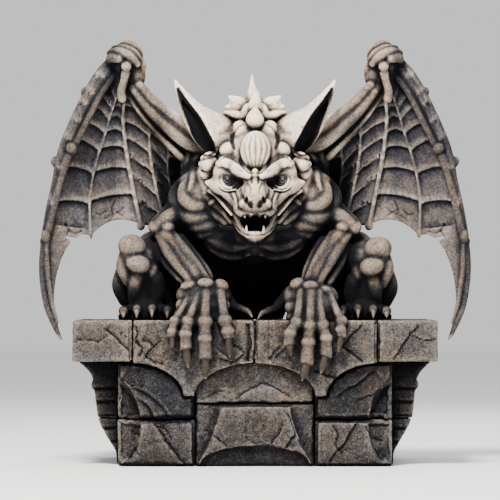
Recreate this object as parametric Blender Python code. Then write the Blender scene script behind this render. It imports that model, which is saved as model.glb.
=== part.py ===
"""A carved stone gargoyle crouching on a plinth of arcaded stone blocks.

The gargoyle is one stone. The plinth under it is laid in blocks: a cap course of four, with an
apron of arches on its front, and courses of wall blocks and tapering brackets below.
Metres, +Z up. The gargoyle faces -Y, and the origin is the middle of the plinth's underside.
"""
import math

import bmesh
import bpy
from mathutils import Matrix, Vector

# Plinth, in metres
PLINTH_HEIGHT = 0.441
CAP_WIDTH = 1.100
CAP_DEPTH = 0.620
CAP_HEIGHT = 0.126
END_BLOCK_WIDTH = 0.182
APRON_THICKNESS = 0.035
ARCH_CROWN_DROP = 0.005
ARCH_FOOT_WIDTH = 0.036
WALL_INSET = 0.136
CENTRE_BLOCK_WIDTH = 0.360
PLATE_THICKNESS = 0.022
SIDE_PLATE_THICKNESS = 0.014
SIDE_ARC_RADIUS = 0.168
SIDE_ARC_DEPTH = 0.064
BRACKET_SETBACK = 0.080
BRACKET_INSET = 0.012
BRACKET_TOE = 0.006
ARRIS = 0.004
GAP = 0.0003

# Heights under the cap, as shares of the height there, and the plates' shapes
ARCH_FOOT_SHARE = 0.667
CENTRE_COURSE_SHARE = 0.60
SIDE_COURSE_SHARE = 0.45
PLATE_WAIST_SHARE = 0.62
PLATE_FLARE = 1.5
BASE_ARCH_SHARE = 0.286

# Gargoyle, in metres
FIGURE_HEIGHT = 0.846
WING_CLEARANCE = 0.018
WING_THICKNESS = 0.024

# The figure is laid out in millimetres at this height, from the middle of the cap's front top edge
LAYOUT_HEIGHT = 846.0
LAYOUT_WING_TIP = 578.0
LAYOUT_CLAW_RADIUS = 12.0

MM = FIGURE_HEIGHT / LAYOUT_HEIGHT
CAP_UNDERSIDE = PLINTH_HEIGHT - CAP_HEIGHT
ARCH_FOOT_HEIGHT = CAP_UNDERSIDE * ARCH_FOOT_SHARE
ARCH_RISE = CAP_UNDERSIDE - ARCH_FOOT_HEIGHT - ARCH_CROWN_DROP
CENTRE_COURSE_HEIGHT = CAP_UNDERSIDE * CENTRE_COURSE_SHARE
SIDE_COURSE_HEIGHT = CAP_UNDERSIDE * SIDE_COURSE_SHARE
WALL_WIDTH = CAP_WIDTH - 2 * WALL_INSET
CAP_FRONT = -CAP_DEPTH / 2
PLINTH_BACK = CAP_DEPTH / 2
WALL_FRONT = CAP_FRONT + APRON_THICKNESS + GAP
CLAW_CENTRE = CAP_WIDTH / 2 + WING_CLEARANCE + LAYOUT_CLAW_RADIUS * MM
WING_SPREAD = CLAW_CENTRE / (LAYOUT_WING_TIP * MM)

REMESH_MM = 7.0
SMOOTHING_ROUNDS = 3
KEPT_TRIANGLES = 0.040
SIDES = 14
ROWS = 9

STONE = (0.42, 0.37, 0.32, 1.0)
BLOCK_STONE = (0.30, 0.27, 0.24, 1.0)


def clear_scene():
    for obj in list(bpy.data.objects):
        bpy.data.objects.remove(obj)


def material(name, colour):
    made = bpy.data.materials.new(name)
    made.use_nodes = True
    shader = made.node_tree.nodes["Principled BSDF"]
    shader.inputs["Base Color"].default_value = colour
    shader.inputs["Roughness"].default_value = 0.85
    shader.inputs["Metallic"].default_value = 0.0
    return made


def object_from(bm, name, stone):
    mesh = bpy.data.meshes.new(name)
    bm.to_mesh(mesh)
    bm.free()
    mesh.materials.append(stone)
    obj = bpy.data.objects.new(name, mesh)
    bpy.context.scene.collection.objects.link(obj)
    return obj


# Curves and solids of the figure

def smooth_curve(points, steps):
    """Points along a curve through all the given ones, steps to each stretch."""
    ends = [points[0] * 2 - points[1], *points, points[-1] * 2 - points[-2]]
    found = []
    for a, b, c, d in zip(ends, ends[1:], ends[2:], ends[3:]):
        for i in range(steps):
            t = i / steps
            found.append(
                0.5 * (2 * b + (c - a) * t + (2 * a - 5 * b + 4 * c - d) * t**2
                       + (3 * b - a - 3 * c + d) * t**3)
            )
    found.append(points[-1])
    return found


def ring(bm, centre, along, radius):
    turn = Vector((0, 0, 1)).rotation_difference(along).to_matrix()
    angles = (2 * math.pi * i / SIDES for i in range(SIDES))
    return [
        bm.verts.new(centre + turn @ Vector((math.cos(a), math.sin(a), 0)) * radius)
        for a in angles
    ]


def limb(bm, points, radii, steps=4):
    """A round limb along a curve, its radius changing from point to point, with domed ends."""
    path = smooth_curve([Vector((*p, r)) for p, r in zip(points, radii)], steps)
    centres = [Vector(p[:3]) for p in path]
    widths = [p[3] for p in path]
    start = (centres[0] - centres[1]).normalized()
    end = (centres[-1] - centres[-2]).normalized()
    dome = [(0.5, 0.87), (0.87, 0.5)]
    for out, share in dome:
        centres.append(centres[len(path) - 1] + end * widths[len(path) - 1] * out)
        widths.append(widths[len(path) - 1] * share)
    centres = [centres[0] + start * widths[0] * out for out, _ in reversed(dome)] + centres
    widths = [widths[0] * share for _, share in reversed(dome)] + widths
    rings = []
    for i, (centre, width) in enumerate(zip(centres, widths)):
        along = centres[min(i + 1, len(centres) - 1)] - centres[max(i - 1, 0)]
        rings.append(ring(bm, centre, along.normalized(), width))
    for lower, upper in zip(rings, rings[1:]):
        bridge(bm, lower, upper)
    bm.faces.new(list(reversed(rings[0])))
    bm.faces.new(rings[-1])


def bridge(bm, lower, upper):
    """Quads between two rings. The upper one is turned to start nearest the lower one's start."""
    shift = min(range(SIDES), key=lambda k: (upper[k].co - lower[0].co).length)
    for i in range(SIDES):
        j = (i + 1) % SIDES
        bm.faces.new([lower[i], lower[j], upper[(j + shift) % SIDES], upper[(i + shift) % SIDES]])


def lump(bm, centre, size, tilt=0.0, nod=0.0):
    """An ellipsoid of these half sizes, tilted about Y and nodded about X, in degrees."""
    turn = Matrix.Rotation(math.radians(tilt), 4, "Y") @ Matrix.Rotation(math.radians(nod), 4, "X")
    place = Matrix.Translation(centre) @ turn @ Matrix.Diagonal((*size, 1.0))
    bmesh.ops.create_uvsphere(bm, u_segments=20, v_segments=12, radius=1.0, matrix=place)


def mirrored(side, points):
    return [(side * x, y, z) for x, y, z in points]


# The figure's parts, in layout millimetres. A side is -1 or 1

# The knobs of the spine, as (back, up), from the nape to the haunches
SPINE = ((300, 560), (350, 528), (384, 472), (396, 412), (414, 352), (456, 304), (504, 250),
         (546, 192))


def trunk(bm):
    limb(bm, [(0, 440, 130), (0, 350, 235), (0, 235, 335), (0, 180, 400)], [132, 128, 146, 140])
    limb(bm, [(0, 470, 60), (0, 430, 110)], [110, 130])
    limb(bm, [(0, 250, 430), (0, 120, 455), (0, 70, 470)], [140, 118, 106])
    for side in (-1, 1):
        limb(bm, mirrored(side, [(95, 240, 420), (160, 205, 385), (190, 170, 340)]), [118, 84, 68])
        limb(bm, mirrored(side, [(100, 130, 450), (140, 115, 380), (128, 88, 320)]), [60, 60, 48])
    for back, up in SPINE:
        lump(bm, (0, back, up), (26, 30, 28))


def chest_folds(bm):
    """Heavy rolls of skin hanging from shoulder to shoulder below the jaw."""
    for drop, forward, width in ((0, 0, 185), (34, 18, 165), (66, 50, 140)):
        points = [
            (width * math.sin(math.radians(a)),
             125 + forward - 75 * math.cos(math.radians(a)),
             345 - drop - 65 * math.cos(math.radians(a)))
            for a in range(-90, 91, 30)
        ]
        limb(bm, points, [26] * len(points))


def head(bm):
    lump(bm, (0, 85, 500), (112, 130, 98))
    limb(bm, [(0, 30, 425), (0, -40, 388), (0, -86, 352)], [74, 60, 40])
    lump(bm, (0, -98, 343), (36, 24, 24))
    for side in (-1, 1):
        lump(bm, (side * 62, -8, 456), (56, 46, 27), tilt=side * -26)
        lump(bm, (side * 76, 18, 506), (31, 34, 24), tilt=side * -30)
        lump(bm, (side * 78, 12, 424), (32, 30, 30))
        lump(bm, (side * 38, 28, 556), (33, 34, 44), tilt=side * 18)
        limb(bm, mirrored(side, [(60, 0, 392), (105, 12, 402), (146, 34, 414)]), [30, 24, 6])
        limb(bm, mirrored(side, [(66, 66, 352), (50, 14, 312), (32, -34, 266), (0, -62, 254)]),
             [34, 19, 15, 19])
        limb(bm, mirrored(side, [(108, 88, 548), (172, 84, 628), (244, 78, 722)]), [70, 40, 6])
    lump(bm, (0, -4, 506), (47, 36, 60))


def crest(bm):
    """Carved leaves climbing the back of the skull to a spire, with a scroll at each side."""
    lump(bm, (0, 42, 606), (27, 24, 38))
    lump(bm, (0, 74, 658), (18, 20, 26))
    limb(bm, [(0, 120, 560), (0, 104, 650), (0, 98, 694), (-3, 96, 736)], [52, 30, 15, 6])
    for side in (-1, 1):
        limb(bm, mirrored(side, [(26, 74, 640), (46, 84, 618), (100, 96, 638)]), [14, 17, 13])
        limb(bm, mirrored(side, [(30, 100, 640), (74, 104, 658)]), [22, 17])
        limb(bm, mirrored(side, [(20, 120, 560), (62, 116, 600)]), [60, 32])


def arm(bm, side):
    limb(bm, mirrored(side, [(196, 185, 360), (250, 160, 312), (280, 132, 284)]), [78, 56, 44])
    lump(bm, (side * 304, 118, 282), (30, 30, 27))
    lump(bm, (side * 260, 100, 280), (30, 26, 25))
    limb(bm, mirrored(side, [(284, 128, 268), (232, 90, 196), (176, 54, 122)]), [43, 40, 31])
    lump(bm, (side * 150, 44, 110), (54, 32, 26))
    lump(bm, (side * 162, 20, 48), (66, 34, 42))


def finger(bm, knuckle, middle, tip, claw_tip, radius):
    """One finger over the cap's edge, its knuckles thicker than the bones between, and its claw."""
    wrist = (knuckle[0] * 0.62 + math.copysign(58, knuckle[0]), 42, 104)
    limb(bm, [wrist, knuckle], [16, radius + 3])
    lump(bm, knuckle, (radius + 5, radius + 4, radius + 4))
    limb(bm, [knuckle, middle, tip], [radius + 1, radius + 2, radius])
    limb(bm, [tip, claw_tip], [radius * 0.62, 3])


# Each finger's knuckle, middle joint, last joint and claw tip
LEFT_FINGERS = (
    ((-241, -6, 0), (-245, -20, -32), (-247, -18, -50), (-249, -20, -78), 15),
    ((-201, -10, -6), (-199, -28, -50), (-201, -24, -80), (-198, -30, -132), 17),
    ((-151, -12, -6), (-152, -30, -58), (-150, -26, -104), (-147, -32, -166), 17),
    ((-95, -8, 2), (-86, -26, -24), (-84, -22, -52), (-77, -28, -104), 16),
)
RIGHT_FINGERS = (
    ((110, -8, 2), (101, -26, -32), (96, -22, -66), (90, -26, -98), 15),
    ((156, -12, -4), (147, -30, -52), (150, -26, -104), (138, -32, -172), 17),
    ((200, -10, -4), (203, -28, -52), (201, -24, -92), (194, -30, -148), 17),
    ((244, -6, 2), (247, -22, -26), (250, -20, -50), (242, -24, -84), 15),
)


def hand(bm, side, fingers):
    for one in fingers:
        finger(bm, *one)
    limb(bm, mirrored(side, [(104, 44, 84), (78, 36, 54), (42, 22, 34)]), [24, 20, 18])
    limb(bm, mirrored(side, [(42, 22, 34), (18, 14, 24), (6, 10, 8)]), [14, 9, 3])


def hind_leg(bm, side):
    limb(bm, mirrored(side, [(120, 410, 150), (250, 290, 185), (350, 110, 185)]), [130, 112, 60])
    lump(bm, (side * 364, 82, 212), (47, 40, 40))
    lump(bm, (side * 358, 60, 163), (38, 36, 38))
    lump(bm, (side * 402, 98, 166), (26, 36, 36))
    lump(bm, (side * 314, 86, 148), (26, 30, 30))
    limb(bm, mirrored(side, [(366, 120, 150), (378, 180, 96), (352, 235, 42)]), [56, 56, 38])
    limb(bm, mirrored(side, [(352, 240, 30), (335, 160, 28), (328, 100, 24)]), [40, 46, 42])
    for x in (394, 354, 308, 260):
        limb(bm, mirrored(side, [(330 + (x - 330) * 0.6, 120, 26), (x, 62, 34), (x, 40, 22)]),
             [22, 20, 15])
        limb(bm, mirrored(side, [(x, 40, 28), (x, 26, 20), (x, 20, 4)]), [9, 8, 3])


# The wing's bones, from the outer finger in to the body. Layout millimetres, for the +X wing

WING_ARM = ((90, 300, 460), (150, 250, 512), (225, 200, 560), (298, 152, 614), (356, 118, 692),
            (376, 106, 756))
OUTER_FINGER = ((405, 118, 742), (474, 104, 632), (526, 94, 546), (552, 90, 519), (588, 86, 405),
                (612, 84, 294), (622, 84, 243))
WING_CLAW = ((622, 84, 243), (631, 88, 144), (622, 94, 48), (602, 100, -20),
             (LAYOUT_WING_TIP, 106, -66))
RIBS = (
    ((408, 124, 710), (462, 152, 546), (486, 162, 445), (494, 158, 351), (495, 148, 258)),
    ((386, 122, 700), (392, 186, 522), (374, 214, 395), (350, 222, 288)),
    ((318, 154, 610), (308, 230, 480), (290, 252, 405), (262, 262, 330)),
    ((258, 190, 560), (250, 262, 440), (214, 290, 320)),
    ((176, 240, 510), (150, 290, 420), (120, 310, 330)),
)
# How far the wing's lower edge rises between two bones, as a share of their length
SCALLOPS = (0.10, 0.07, 0.05, 0.05, 0.04)
CLAW_BLADE = ((600, 100, 250), (606, 104, 160), (602, 106, 90), (600, 106, 20), (588, 106, -30))


def spread(side, points):
    return [(side * x * WING_SPREAD, y, z) for x, y, z in points]


def membrane(bm, outer, inner, scallop):
    """The web between two bones: a slab that hangs back between them, its lower edge scalloped."""
    steps = 8
    grid = []
    for i in range(7):
        u = i / 6
        column = []
        for j in range(ROWS):
            t = j / (ROWS - 1) * (1 - scallop * 4 * u * (1 - u))
            place = along(outer, t) * (1 - u) + along(inner, t) * u
            place.y += 22 * math.sin(math.pi * u) * math.sin(math.pi * min(t * 1.2, 1) / 2)
            column.append(place)
        grid.append(column)
    slab(bm, grid, WING_THICKNESS / MM)


def along(points, share):
    """The point at this share of a curve's stretches."""
    path = smooth_curve([Vector(p) for p in points], 8)
    place = share * (len(path) - 1)
    k = min(int(place), len(path) - 2)
    return path[k].lerp(path[k + 1], place - k)


def slab(bm, grid, thickness):
    """A closed slab of this thickness on a grid of points, thickened along Y."""
    half = Vector((0, thickness / 2, 0))
    front = [[bm.verts.new(p - half) for p in column] for column in grid]
    back = [[bm.verts.new(p + half) for p in column] for column in grid]
    columns, rows = len(grid), len(grid[0])
    for i in range(columns - 1):
        for j in range(rows - 1):
            bm.faces.new([front[i][j], front[i + 1][j], front[i + 1][j + 1], front[i][j + 1]])
            bm.faces.new([back[i][j], back[i][j + 1], back[i + 1][j + 1], back[i + 1][j]])
    rim = [(i, 0) for i in range(columns)] + [(columns - 1, j) for j in range(1, rows)]
    rim += [(i, rows - 1) for i in range(columns - 2, -1, -1)]
    rim += [(0, j) for j in range(rows - 2, 0, -1)]
    for (a, b), (c, d) in zip(rim, rim[1:] + rim[:1]):
        bm.faces.new([front[a][b], back[a][b], back[c][d], front[c][d]])


def wing(bm, side):
    limb(bm, spread(side, WING_ARM), [62, 50, 41, 35, 30, 30])
    fist(bm, side)
    outer = spread(side, OUTER_FINGER)
    limb(bm, outer, [26, 25, 22, 23, 19, 19, 22])
    limb(bm, spread(side, WING_CLAW), [19, 16, 14, 13, LAYOUT_CLAW_RADIUS * 0.6])
    for place in ((552, 82, 520), (622, 78, 242)):
        lump(bm, *spread(side, [place]), (26, 25, 27))
    for place in ((520, 110, 590), (574, 104, 480), (640, 96, 238)):
        lump(bm, *spread(side, [place]), (16, 16, 16))
    bones = [outer, *(spread(side, rib) for rib in RIBS)]
    for rib in bones[1:4]:
        limb(bm, rib, [10] * len(rib))
    lump(bm, bones[2][-1], (16, 16, 16))
    for one, other, scallop in zip(bones, bones[1:], SCALLOPS):
        membrane(bm, one, other, scallop)
    claw_blade(bm, side)


def claw_blade(bm, side):
    """The thin blade of web inside the long claw, narrowing to its tip."""
    claw = spread(side, WING_CLAW)
    edge = spread(side, CLAW_BLADE)
    inner = spread(side, [RIBS[0][-1]])[0]
    grid = []
    for i in range(5):
        u = i / 4
        column = []
        for j in range(7):
            t = j / 6
            near = along(edge, t)
            if t < 0.5:
                near = Vector(inner).lerp(near, 2 * t + (0.5 - t) * 0.6)
            column.append(along(claw, t * 0.92).lerp(near, u))
        grid.append(column)
    slab(bm, grid, WING_THICKNESS / MM * 0.8)


def fist(bm, side):
    """The wing's hand: fingers curled over one another, with the thumb hanging below."""
    lump(bm, *spread(side, [(386, 106, 778)]), (56, 52, 60))
    for x, z, y in ((382, 828, 94), (388, 804, 70), (384, 778, 56), (390, 752, 60)):
        points = spread(side, [(x + 44, y + 18, z), (x, y, z), (x - 44, y + 16, z - 20)])
        limb(bm, points, [18, 20, 18])
    limb(bm, spread(side, [(382, 60, 742), (386, 66, 706), (396, 84, 652)]), [22, 17, 18])


def gargoyle(stone):
    """The whole figure in one solid, cut to bear on the cap's top and front."""
    bm = bmesh.new()
    trunk(bm)
    chest_folds(bm)
    head(bm)
    crest(bm)
    for side, fingers in ((-1, LEFT_FINGERS), (1, RIGHT_FINGERS)):
        arm(bm, side)
        hand(bm, side, fingers)
        hind_leg(bm, side)
        wing(bm, side)
    bmesh.ops.recalc_face_normals(bm, faces=bm.faces)
    bm.transform(Matrix.Translation((0, CAP_FRONT, PLINTH_HEIGHT)) @ Matrix.Scale(MM, 4))
    figure = object_from(bm, "gargoyle", stone)
    remesh = figure.modifiers.new("One stone", "REMESH")
    remesh.mode = "VOXEL"
    remesh.voxel_size = REMESH_MM * MM
    smooth = figure.modifiers.new("Soften", "SMOOTH")
    smooth.iterations = SMOOTHING_ROUNDS
    thin = figure.modifiers.new("Fewer facets", "DECIMATE")
    thin.ratio = KEPT_TRIANGLES
    seat = figure.modifiers.new("Seat on the cap", "BOOLEAN")
    seat.operation = "DIFFERENCE"
    seat.object = seat_cutter()
    return figure


def seat_cutter():
    """The room the plinth takes, a gap larger all round, which the figure is cut back to."""
    half = CAP_WIDTH / 2 + GAP
    cutter = block("seat_cutter", (-half, half), (CAP_FRONT - GAP, PLINTH_BACK + GAP),
                   (-GAP, PLINTH_HEIGHT + GAP), None)
    hide_helper(cutter)
    return cutter


# The plinth's blocks

def block(name, across, deep, high, stone, worn=0.0):
    """A squared block between these limits, its arrises rubbed off."""
    bm = bmesh.new()
    bmesh.ops.create_cube(bm, size=1.0)
    for vert in bm.verts:
        for axis, (low, top) in enumerate((across, deep, high)):
            vert.co[axis] = top if vert.co[axis] > 0 else low
    obj = object_from(bm, name, stone)
    if worn:
        wear(obj, worn)
    return obj


def wear(obj, width):
    bevel = obj.modifiers.new("Worn arrises", "BEVEL")
    bevel.width = width
    bevel.segments = 1
    bevel.limit_method = "ANGLE"


def prism(name, outline, front, back, stone):
    """A block whose face is this outline of (x, z) points, run from front to back."""
    bm = bmesh.new()
    face = bm.faces.new([bm.verts.new((x, front, z)) for x, z in outline])
    made = bmesh.ops.extrude_face_region(bm, geom=[face])
    moved = [v for v in made["geom"] if isinstance(v, bmesh.types.BMVert)]
    bmesh.ops.translate(bm, verts=moved, vec=(0, back - front, 0))
    bmesh.ops.recalc_face_normals(bm, faces=bm.faces)
    return object_from(bm, name, stone)


def arc(centre_x, centre_z, radius_x, radius_z, start, end, steps=10):
    """Points on an ellipse from one angle to another, in degrees from +X towards +Z."""
    angles = (math.radians(start + (end - start) * i / steps) for i in range(steps + 1))
    return [(centre_x + radius_x * math.cos(a), centre_z + radius_z * math.sin(a)) for a in angles]


def join(obj, other):
    union = obj.modifiers.new("Carve " + other.name, "BOOLEAN")
    union.operation = "UNION"
    union.object = other
    hide_helper(other)


def hide_helper(obj):
    obj.hide_render = True
    obj.display_type = "WIRE"


def cap_course(stone):
    """Four blocks side by side. The inner two carry the apron of arches down the front."""
    half = CAP_WIDTH / 2
    joint = half - END_BLOCK_WIDTH
    high = (CAP_UNDERSIDE, PLINTH_HEIGHT)
    deep = (CAP_FRONT, PLINTH_BACK)
    for side, word in ((-1, "left"), (1, "right")):
        ends = sorted((side * (joint + GAP / 2), side * half))
        block(f"cap_end_block_{word}", ends, deep, high, stone, ARRIS)
        apron = [(side * x, z) for x, z in apron_outline(joint - GAP / 2)]
        inner = prism(f"cap_arch_block_{word}", apron, CAP_FRONT, CAP_FRONT + APRON_THICKNESS,
                      stone)
        rest = sorted((side * GAP / 2, side * (joint - GAP / 2)))
        join(inner, block(f"cap_block_body_{word}", rest, deep, high, None))


def apron_outline(joint):
    """Half of the apron: from the middle, over half an arch, its foot, and half an end arch."""
    foot_in = CENTRE_BLOCK_WIDTH / 2
    foot_out = foot_in + ARCH_FOOT_WIDTH
    middle_arch = arc(GAP / 2, ARCH_FOOT_HEIGHT, foot_in - GAP / 2, ARCH_RISE, 90, 0)
    end_arch = arc(joint, ARCH_FOOT_HEIGHT, joint - foot_out, ARCH_RISE, 180, 90)
    face_top = PLINTH_HEIGHT - ARRIS
    return [(GAP / 2, face_top), *middle_arch, *end_arch, (joint, face_top)]


def wall_blocks(stone):
    """The upright blocks between the cap and the ground, with their raised carving."""
    half = CENTRE_BLOCK_WIDTH / 2
    edge = WALL_WIDTH / 2
    deep = (WALL_FRONT, PLINTH_BACK)
    under_cap = CAP_UNDERSIDE - GAP
    block("tympanum_block", (-half + GAP, half - GAP), deep, (CENTRE_COURSE_HEIGHT + GAP, under_cap),
          stone, ARRIS)
    centre = block("centre_base_block", (-half + GAP, half - GAP), deep,
                   (0, CENTRE_COURSE_HEIGHT), stone, ARRIS)
    join(centre, centre_plate())
    for side, word in ((-1, "left"), (1, "right")):
        across = sorted((side * half, side * edge))
        lower = block(f"base_block_{word}", across, deep, (0, SIDE_COURSE_HEIGHT), stone, ARRIS)
        upper = block(f"wall_block_{word}", across, deep, (SIDE_COURSE_HEIGHT + GAP, under_cap),
                      stone, ARRIS)
        join(lower, side_plate(side, f"base_plate_{word}", base_plate_outline()))
        join(upper, side_plate(side, f"wall_plate_{word}", wall_plate_outline()))


def centre_plate():
    """The raised plate on the centre block: it flares to its foot, which is cut by a low arch."""
    half = CENTRE_BLOCK_WIDTH / 2 - 2 * ARRIS
    waist = half * PLATE_WAIST_SHARE
    low, high = 2 * ARRIS, CENTRE_COURSE_HEIGHT - 2 * ARRIS
    shares = [i / 8 for i in range(9)]
    right = [(waist + (half - waist) * t**PLATE_FLARE, high - (high - low) * t) for t in shares]
    foot = arc(0, low, half - 2 * ARRIS, CENTRE_COURSE_HEIGHT * BASE_ARCH_SHARE, 0, 180)
    left = [(-x, z) for x, z in reversed(right)]
    return prism("centre_plate", [*right, *foot, *left], WALL_FRONT - PLATE_THICKNESS,
                 WALL_FRONT + ARRIS, None)


def side_plate(side, name, outline):
    """The raised field of a side block, bounded outside by the arc of a great circle."""
    return prism(name, [(side * x, z) for x, z in outline],
                 WALL_FRONT - SIDE_PLATE_THICKNESS, WALL_FRONT + ARRIS, None)


def great_circle(low, high, steps=8):
    """The arc's points between two heights, kept on the block's face."""
    middle = WALL_WIDTH / 2 - SIDE_ARC_DEPTH + SIDE_ARC_RADIUS
    most = WALL_WIDTH / 2 - 2 * ARRIS
    found = []
    for k in range(steps + 1):
        z = low + (high - low) * k / steps
        reach = math.sqrt(max(SIDE_ARC_RADIUS**2 - (z - SIDE_COURSE_HEIGHT) ** 2, 0))
        found.append((min(middle - reach, most), z))
    return found


def base_plate_outline():
    inner = CENTRE_BLOCK_WIDTH / 2 + 2 * ARRIS
    low, high = 2 * ARRIS, SIDE_COURSE_HEIGHT - 2 * ARRIS
    return [(inner, low), *great_circle(low, high), (inner, high)]


def wall_plate_outline():
    """The field of the upper side block, which fills the opening of the apron's end arch."""
    inner = CENTRE_BLOCK_WIDTH / 2 + 2 * ARRIS
    foot_out = CENTRE_BLOCK_WIDTH / 2 + ARCH_FOOT_WIDTH
    joint = CAP_WIDTH / 2 - END_BLOCK_WIDTH
    low, spring = SIDE_COURSE_HEIGHT + GAP + 2 * ARRIS, ARCH_FOOT_HEIGHT - ARRIS
    crown = ARCH_FOOT_HEIGHT + ARCH_RISE - ARRIS
    under_arch = arc(joint, spring, joint - foot_out - ARRIS, crown - spring, 90, 180)
    return [(inner, low), *great_circle(low, crown), *under_arch, (inner, spring)]


def brackets(stone):
    """A moulded bracket at each end, in two courses, that widens up to the cap."""
    for side, word in ((-1, "left"), (1, "right")):
        for course, low, high in (("lower", 0.0, SIDE_COURSE_HEIGHT),
                                  ("upper", SIDE_COURSE_HEIGHT + GAP, CAP_UNDERSIDE - GAP)):
            outline = bracket_outline(low, high)
            prism(f"bracket_{course}_{word}", [(side * x, z) for x, z in outline],
                  WALL_FRONT + BRACKET_SETBACK, PLINTH_BACK, stone)


def bracket_outline(low, high):
    """A course of the bracket's section, from the wall out to the moulded profile."""
    inner = WALL_WIDTH / 2 + GAP
    return [(inner, low), *bracket_profile(low, high), (inner, high)]


def bracket_profile(low, high):
    """The profile's points between two heights: a slope, an upright, a bead and a hollow."""
    foot = WALL_WIDTH / 2 + GAP + BRACKET_TOE
    reach = CAP_WIDTH / 2 - BRACKET_INSET - foot
    shares = ((0.0, 0.0), (0.13, 0.02), (0.25, 0.22), (0.38, 0.42), (0.46, 0.50), (0.66, 0.56),
              (0.72, 0.58), (0.745, 0.66), (0.80, 0.66), (0.825, 0.60), (0.90, 0.72), (0.96, 0.88),
              (1.0, 1.0))
    points = [(foot + reach * out, CAP_UNDERSIDE * up) for up, out in shares]

    def at(z):
        for (x0, z0), (x1, z1) in zip(points, points[1:]):
            if z0 <= z <= z1:
                return (x0 + (x1 - x0) * (z - z0) / (z1 - z0), z)
        return (points[-1][0], z)

    return [at(low), *[p for p in points if low < p[1] < high], at(high)]


def main():
    clear_scene()
    figure_stone = material("carved_stone", STONE)
    block_stone = material("block_stone", BLOCK_STONE)
    cap_course(block_stone)
    wall_blocks(block_stone)
    brackets(block_stone)
    gargoyle(figure_stone)


main()
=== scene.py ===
"""The looks of a carved stone gargoyle that crouches on a plinth of arcaded stone blocks.

The figure is laid out in millimetres from the middle of the cap's front top edge: across, back
and up. Out is the distance across from the middle, on either side.
"""
import math

import bpy
import numpy as np
from mathutils import Matrix, Vector, noise
from mathutils.bvhtree import BVHTree
from mathutils.kdtree import KDTree


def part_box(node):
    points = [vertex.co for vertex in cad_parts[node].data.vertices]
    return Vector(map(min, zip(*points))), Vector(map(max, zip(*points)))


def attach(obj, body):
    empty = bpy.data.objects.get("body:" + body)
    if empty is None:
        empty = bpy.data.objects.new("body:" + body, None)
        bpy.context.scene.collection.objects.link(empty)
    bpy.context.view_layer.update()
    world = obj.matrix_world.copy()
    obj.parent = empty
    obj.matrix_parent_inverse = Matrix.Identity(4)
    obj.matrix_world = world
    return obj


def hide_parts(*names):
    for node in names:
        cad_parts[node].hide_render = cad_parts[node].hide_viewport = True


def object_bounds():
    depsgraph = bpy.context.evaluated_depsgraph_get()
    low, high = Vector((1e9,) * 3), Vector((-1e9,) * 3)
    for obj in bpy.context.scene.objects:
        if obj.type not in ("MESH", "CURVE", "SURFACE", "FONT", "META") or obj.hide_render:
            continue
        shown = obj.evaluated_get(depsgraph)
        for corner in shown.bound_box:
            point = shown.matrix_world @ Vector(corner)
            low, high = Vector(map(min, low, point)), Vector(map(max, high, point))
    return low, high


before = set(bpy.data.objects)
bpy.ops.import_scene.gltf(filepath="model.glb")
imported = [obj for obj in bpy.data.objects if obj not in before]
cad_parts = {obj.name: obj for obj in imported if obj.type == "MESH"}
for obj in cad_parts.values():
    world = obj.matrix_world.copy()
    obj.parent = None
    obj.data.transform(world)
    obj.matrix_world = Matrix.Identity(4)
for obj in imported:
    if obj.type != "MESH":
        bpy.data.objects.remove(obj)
cad_low, cad_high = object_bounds()

MM = 0.001
CAP_LOW, CAP_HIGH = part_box("cap_end_block_left")
CAP_FRONT = CAP_LOW.y
CAP_TOP = CAP_HIGH.z
PLINTH_BACK = CAP_HIGH.y
CAP_HALF = -CAP_LOW.x

ONE = (1,)
BOTH = (-1, 1)

# Sizes of the skins' cells, in millimetres
BODY_CELL = 3.7
HEAD_CELL = 2.3
WING_CELL = 3.2
CLAW_CELL = 2.4
TOOTH_CELL = 1.8
BLOCK_CELL = 4.4
ROUGH_CELL = 6.0
# The most triangles that the finished pieces keep
FIGURE_TRIANGLES = 196000
BLOCK_TRIANGLES = 34000


# Selecting, joining and finishing

def select_only(*objs):
    bpy.ops.object.select_all(action="DESELECT")
    for obj in objs:
        obj.select_set(True)
    bpy.context.view_layer.objects.active = objs[0]


def apply(obj, kind, **settings):
    """Adds a modifier with these settings and applies it."""
    select_only(obj)
    modifier = obj.modifiers.new(kind.title(), kind)
    for name, value in settings.items():
        setattr(modifier, name, value)
    bpy.ops.object.modifier_apply(modifier=modifier.name)


def joined(objs, name):
    select_only(*objs)
    if len(objs) > 1:
        bpy.ops.object.join()
    obj = bpy.context.view_layer.objects.active
    obj.name = name
    bpy.ops.object.transform_apply(location=True, rotation=True, scale=True)
    return obj


def remesh(obj, cell, rounds, factor=0.5):
    """One closed skin of cells this many millimetres wide, then smoothed."""
    apply(obj, "REMESH", mode="VOXEL", voxel_size=cell * MM)
    if rounds:
        apply(obj, "SMOOTH", iterations=rounds, factor=factor)


def boolean(obj, other, operation):
    apply(obj, "BOOLEAN", operation=operation, solver="MANIFOLD", object=other)
    bpy.data.objects.remove(other)


def points_of(obj):
    found = np.empty(len(obj.data.vertices) * 3, np.float32)
    obj.data.vertices.foreach_get("co", found)
    return found.reshape(-1, 3)


def set_points(obj, points):
    obj.data.vertices.foreach_set("co", points.astype(np.float32).ravel())
    obj.data.update()


def normals_of(obj):
    found = np.empty(len(obj.data.vertices) * 3, np.float32)
    obj.data.vertex_normals.foreach_get("vector", found)
    return found.reshape(-1, 3)


def edges_of(obj):
    found = np.empty(len(obj.data.edges) * 2, np.int32)
    obj.data.edges.foreach_get("vertices", found)
    return found.reshape(-1, 2)


def tree_of(obj):
    return BVHTree.FromObject(obj, bpy.context.evaluated_depsgraph_get())


# The figure's layout

def at(x, y, z):
    return Vector((x * MM, CAP_FRONT + y * MM, CAP_TOP + z * MM))


def layout_of(obj):
    """Where each point of a mesh is in the figure's layout, in millimetres."""
    return (points_of(obj) - np.array(at(0, 0, 0), np.float32)) / MM


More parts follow.
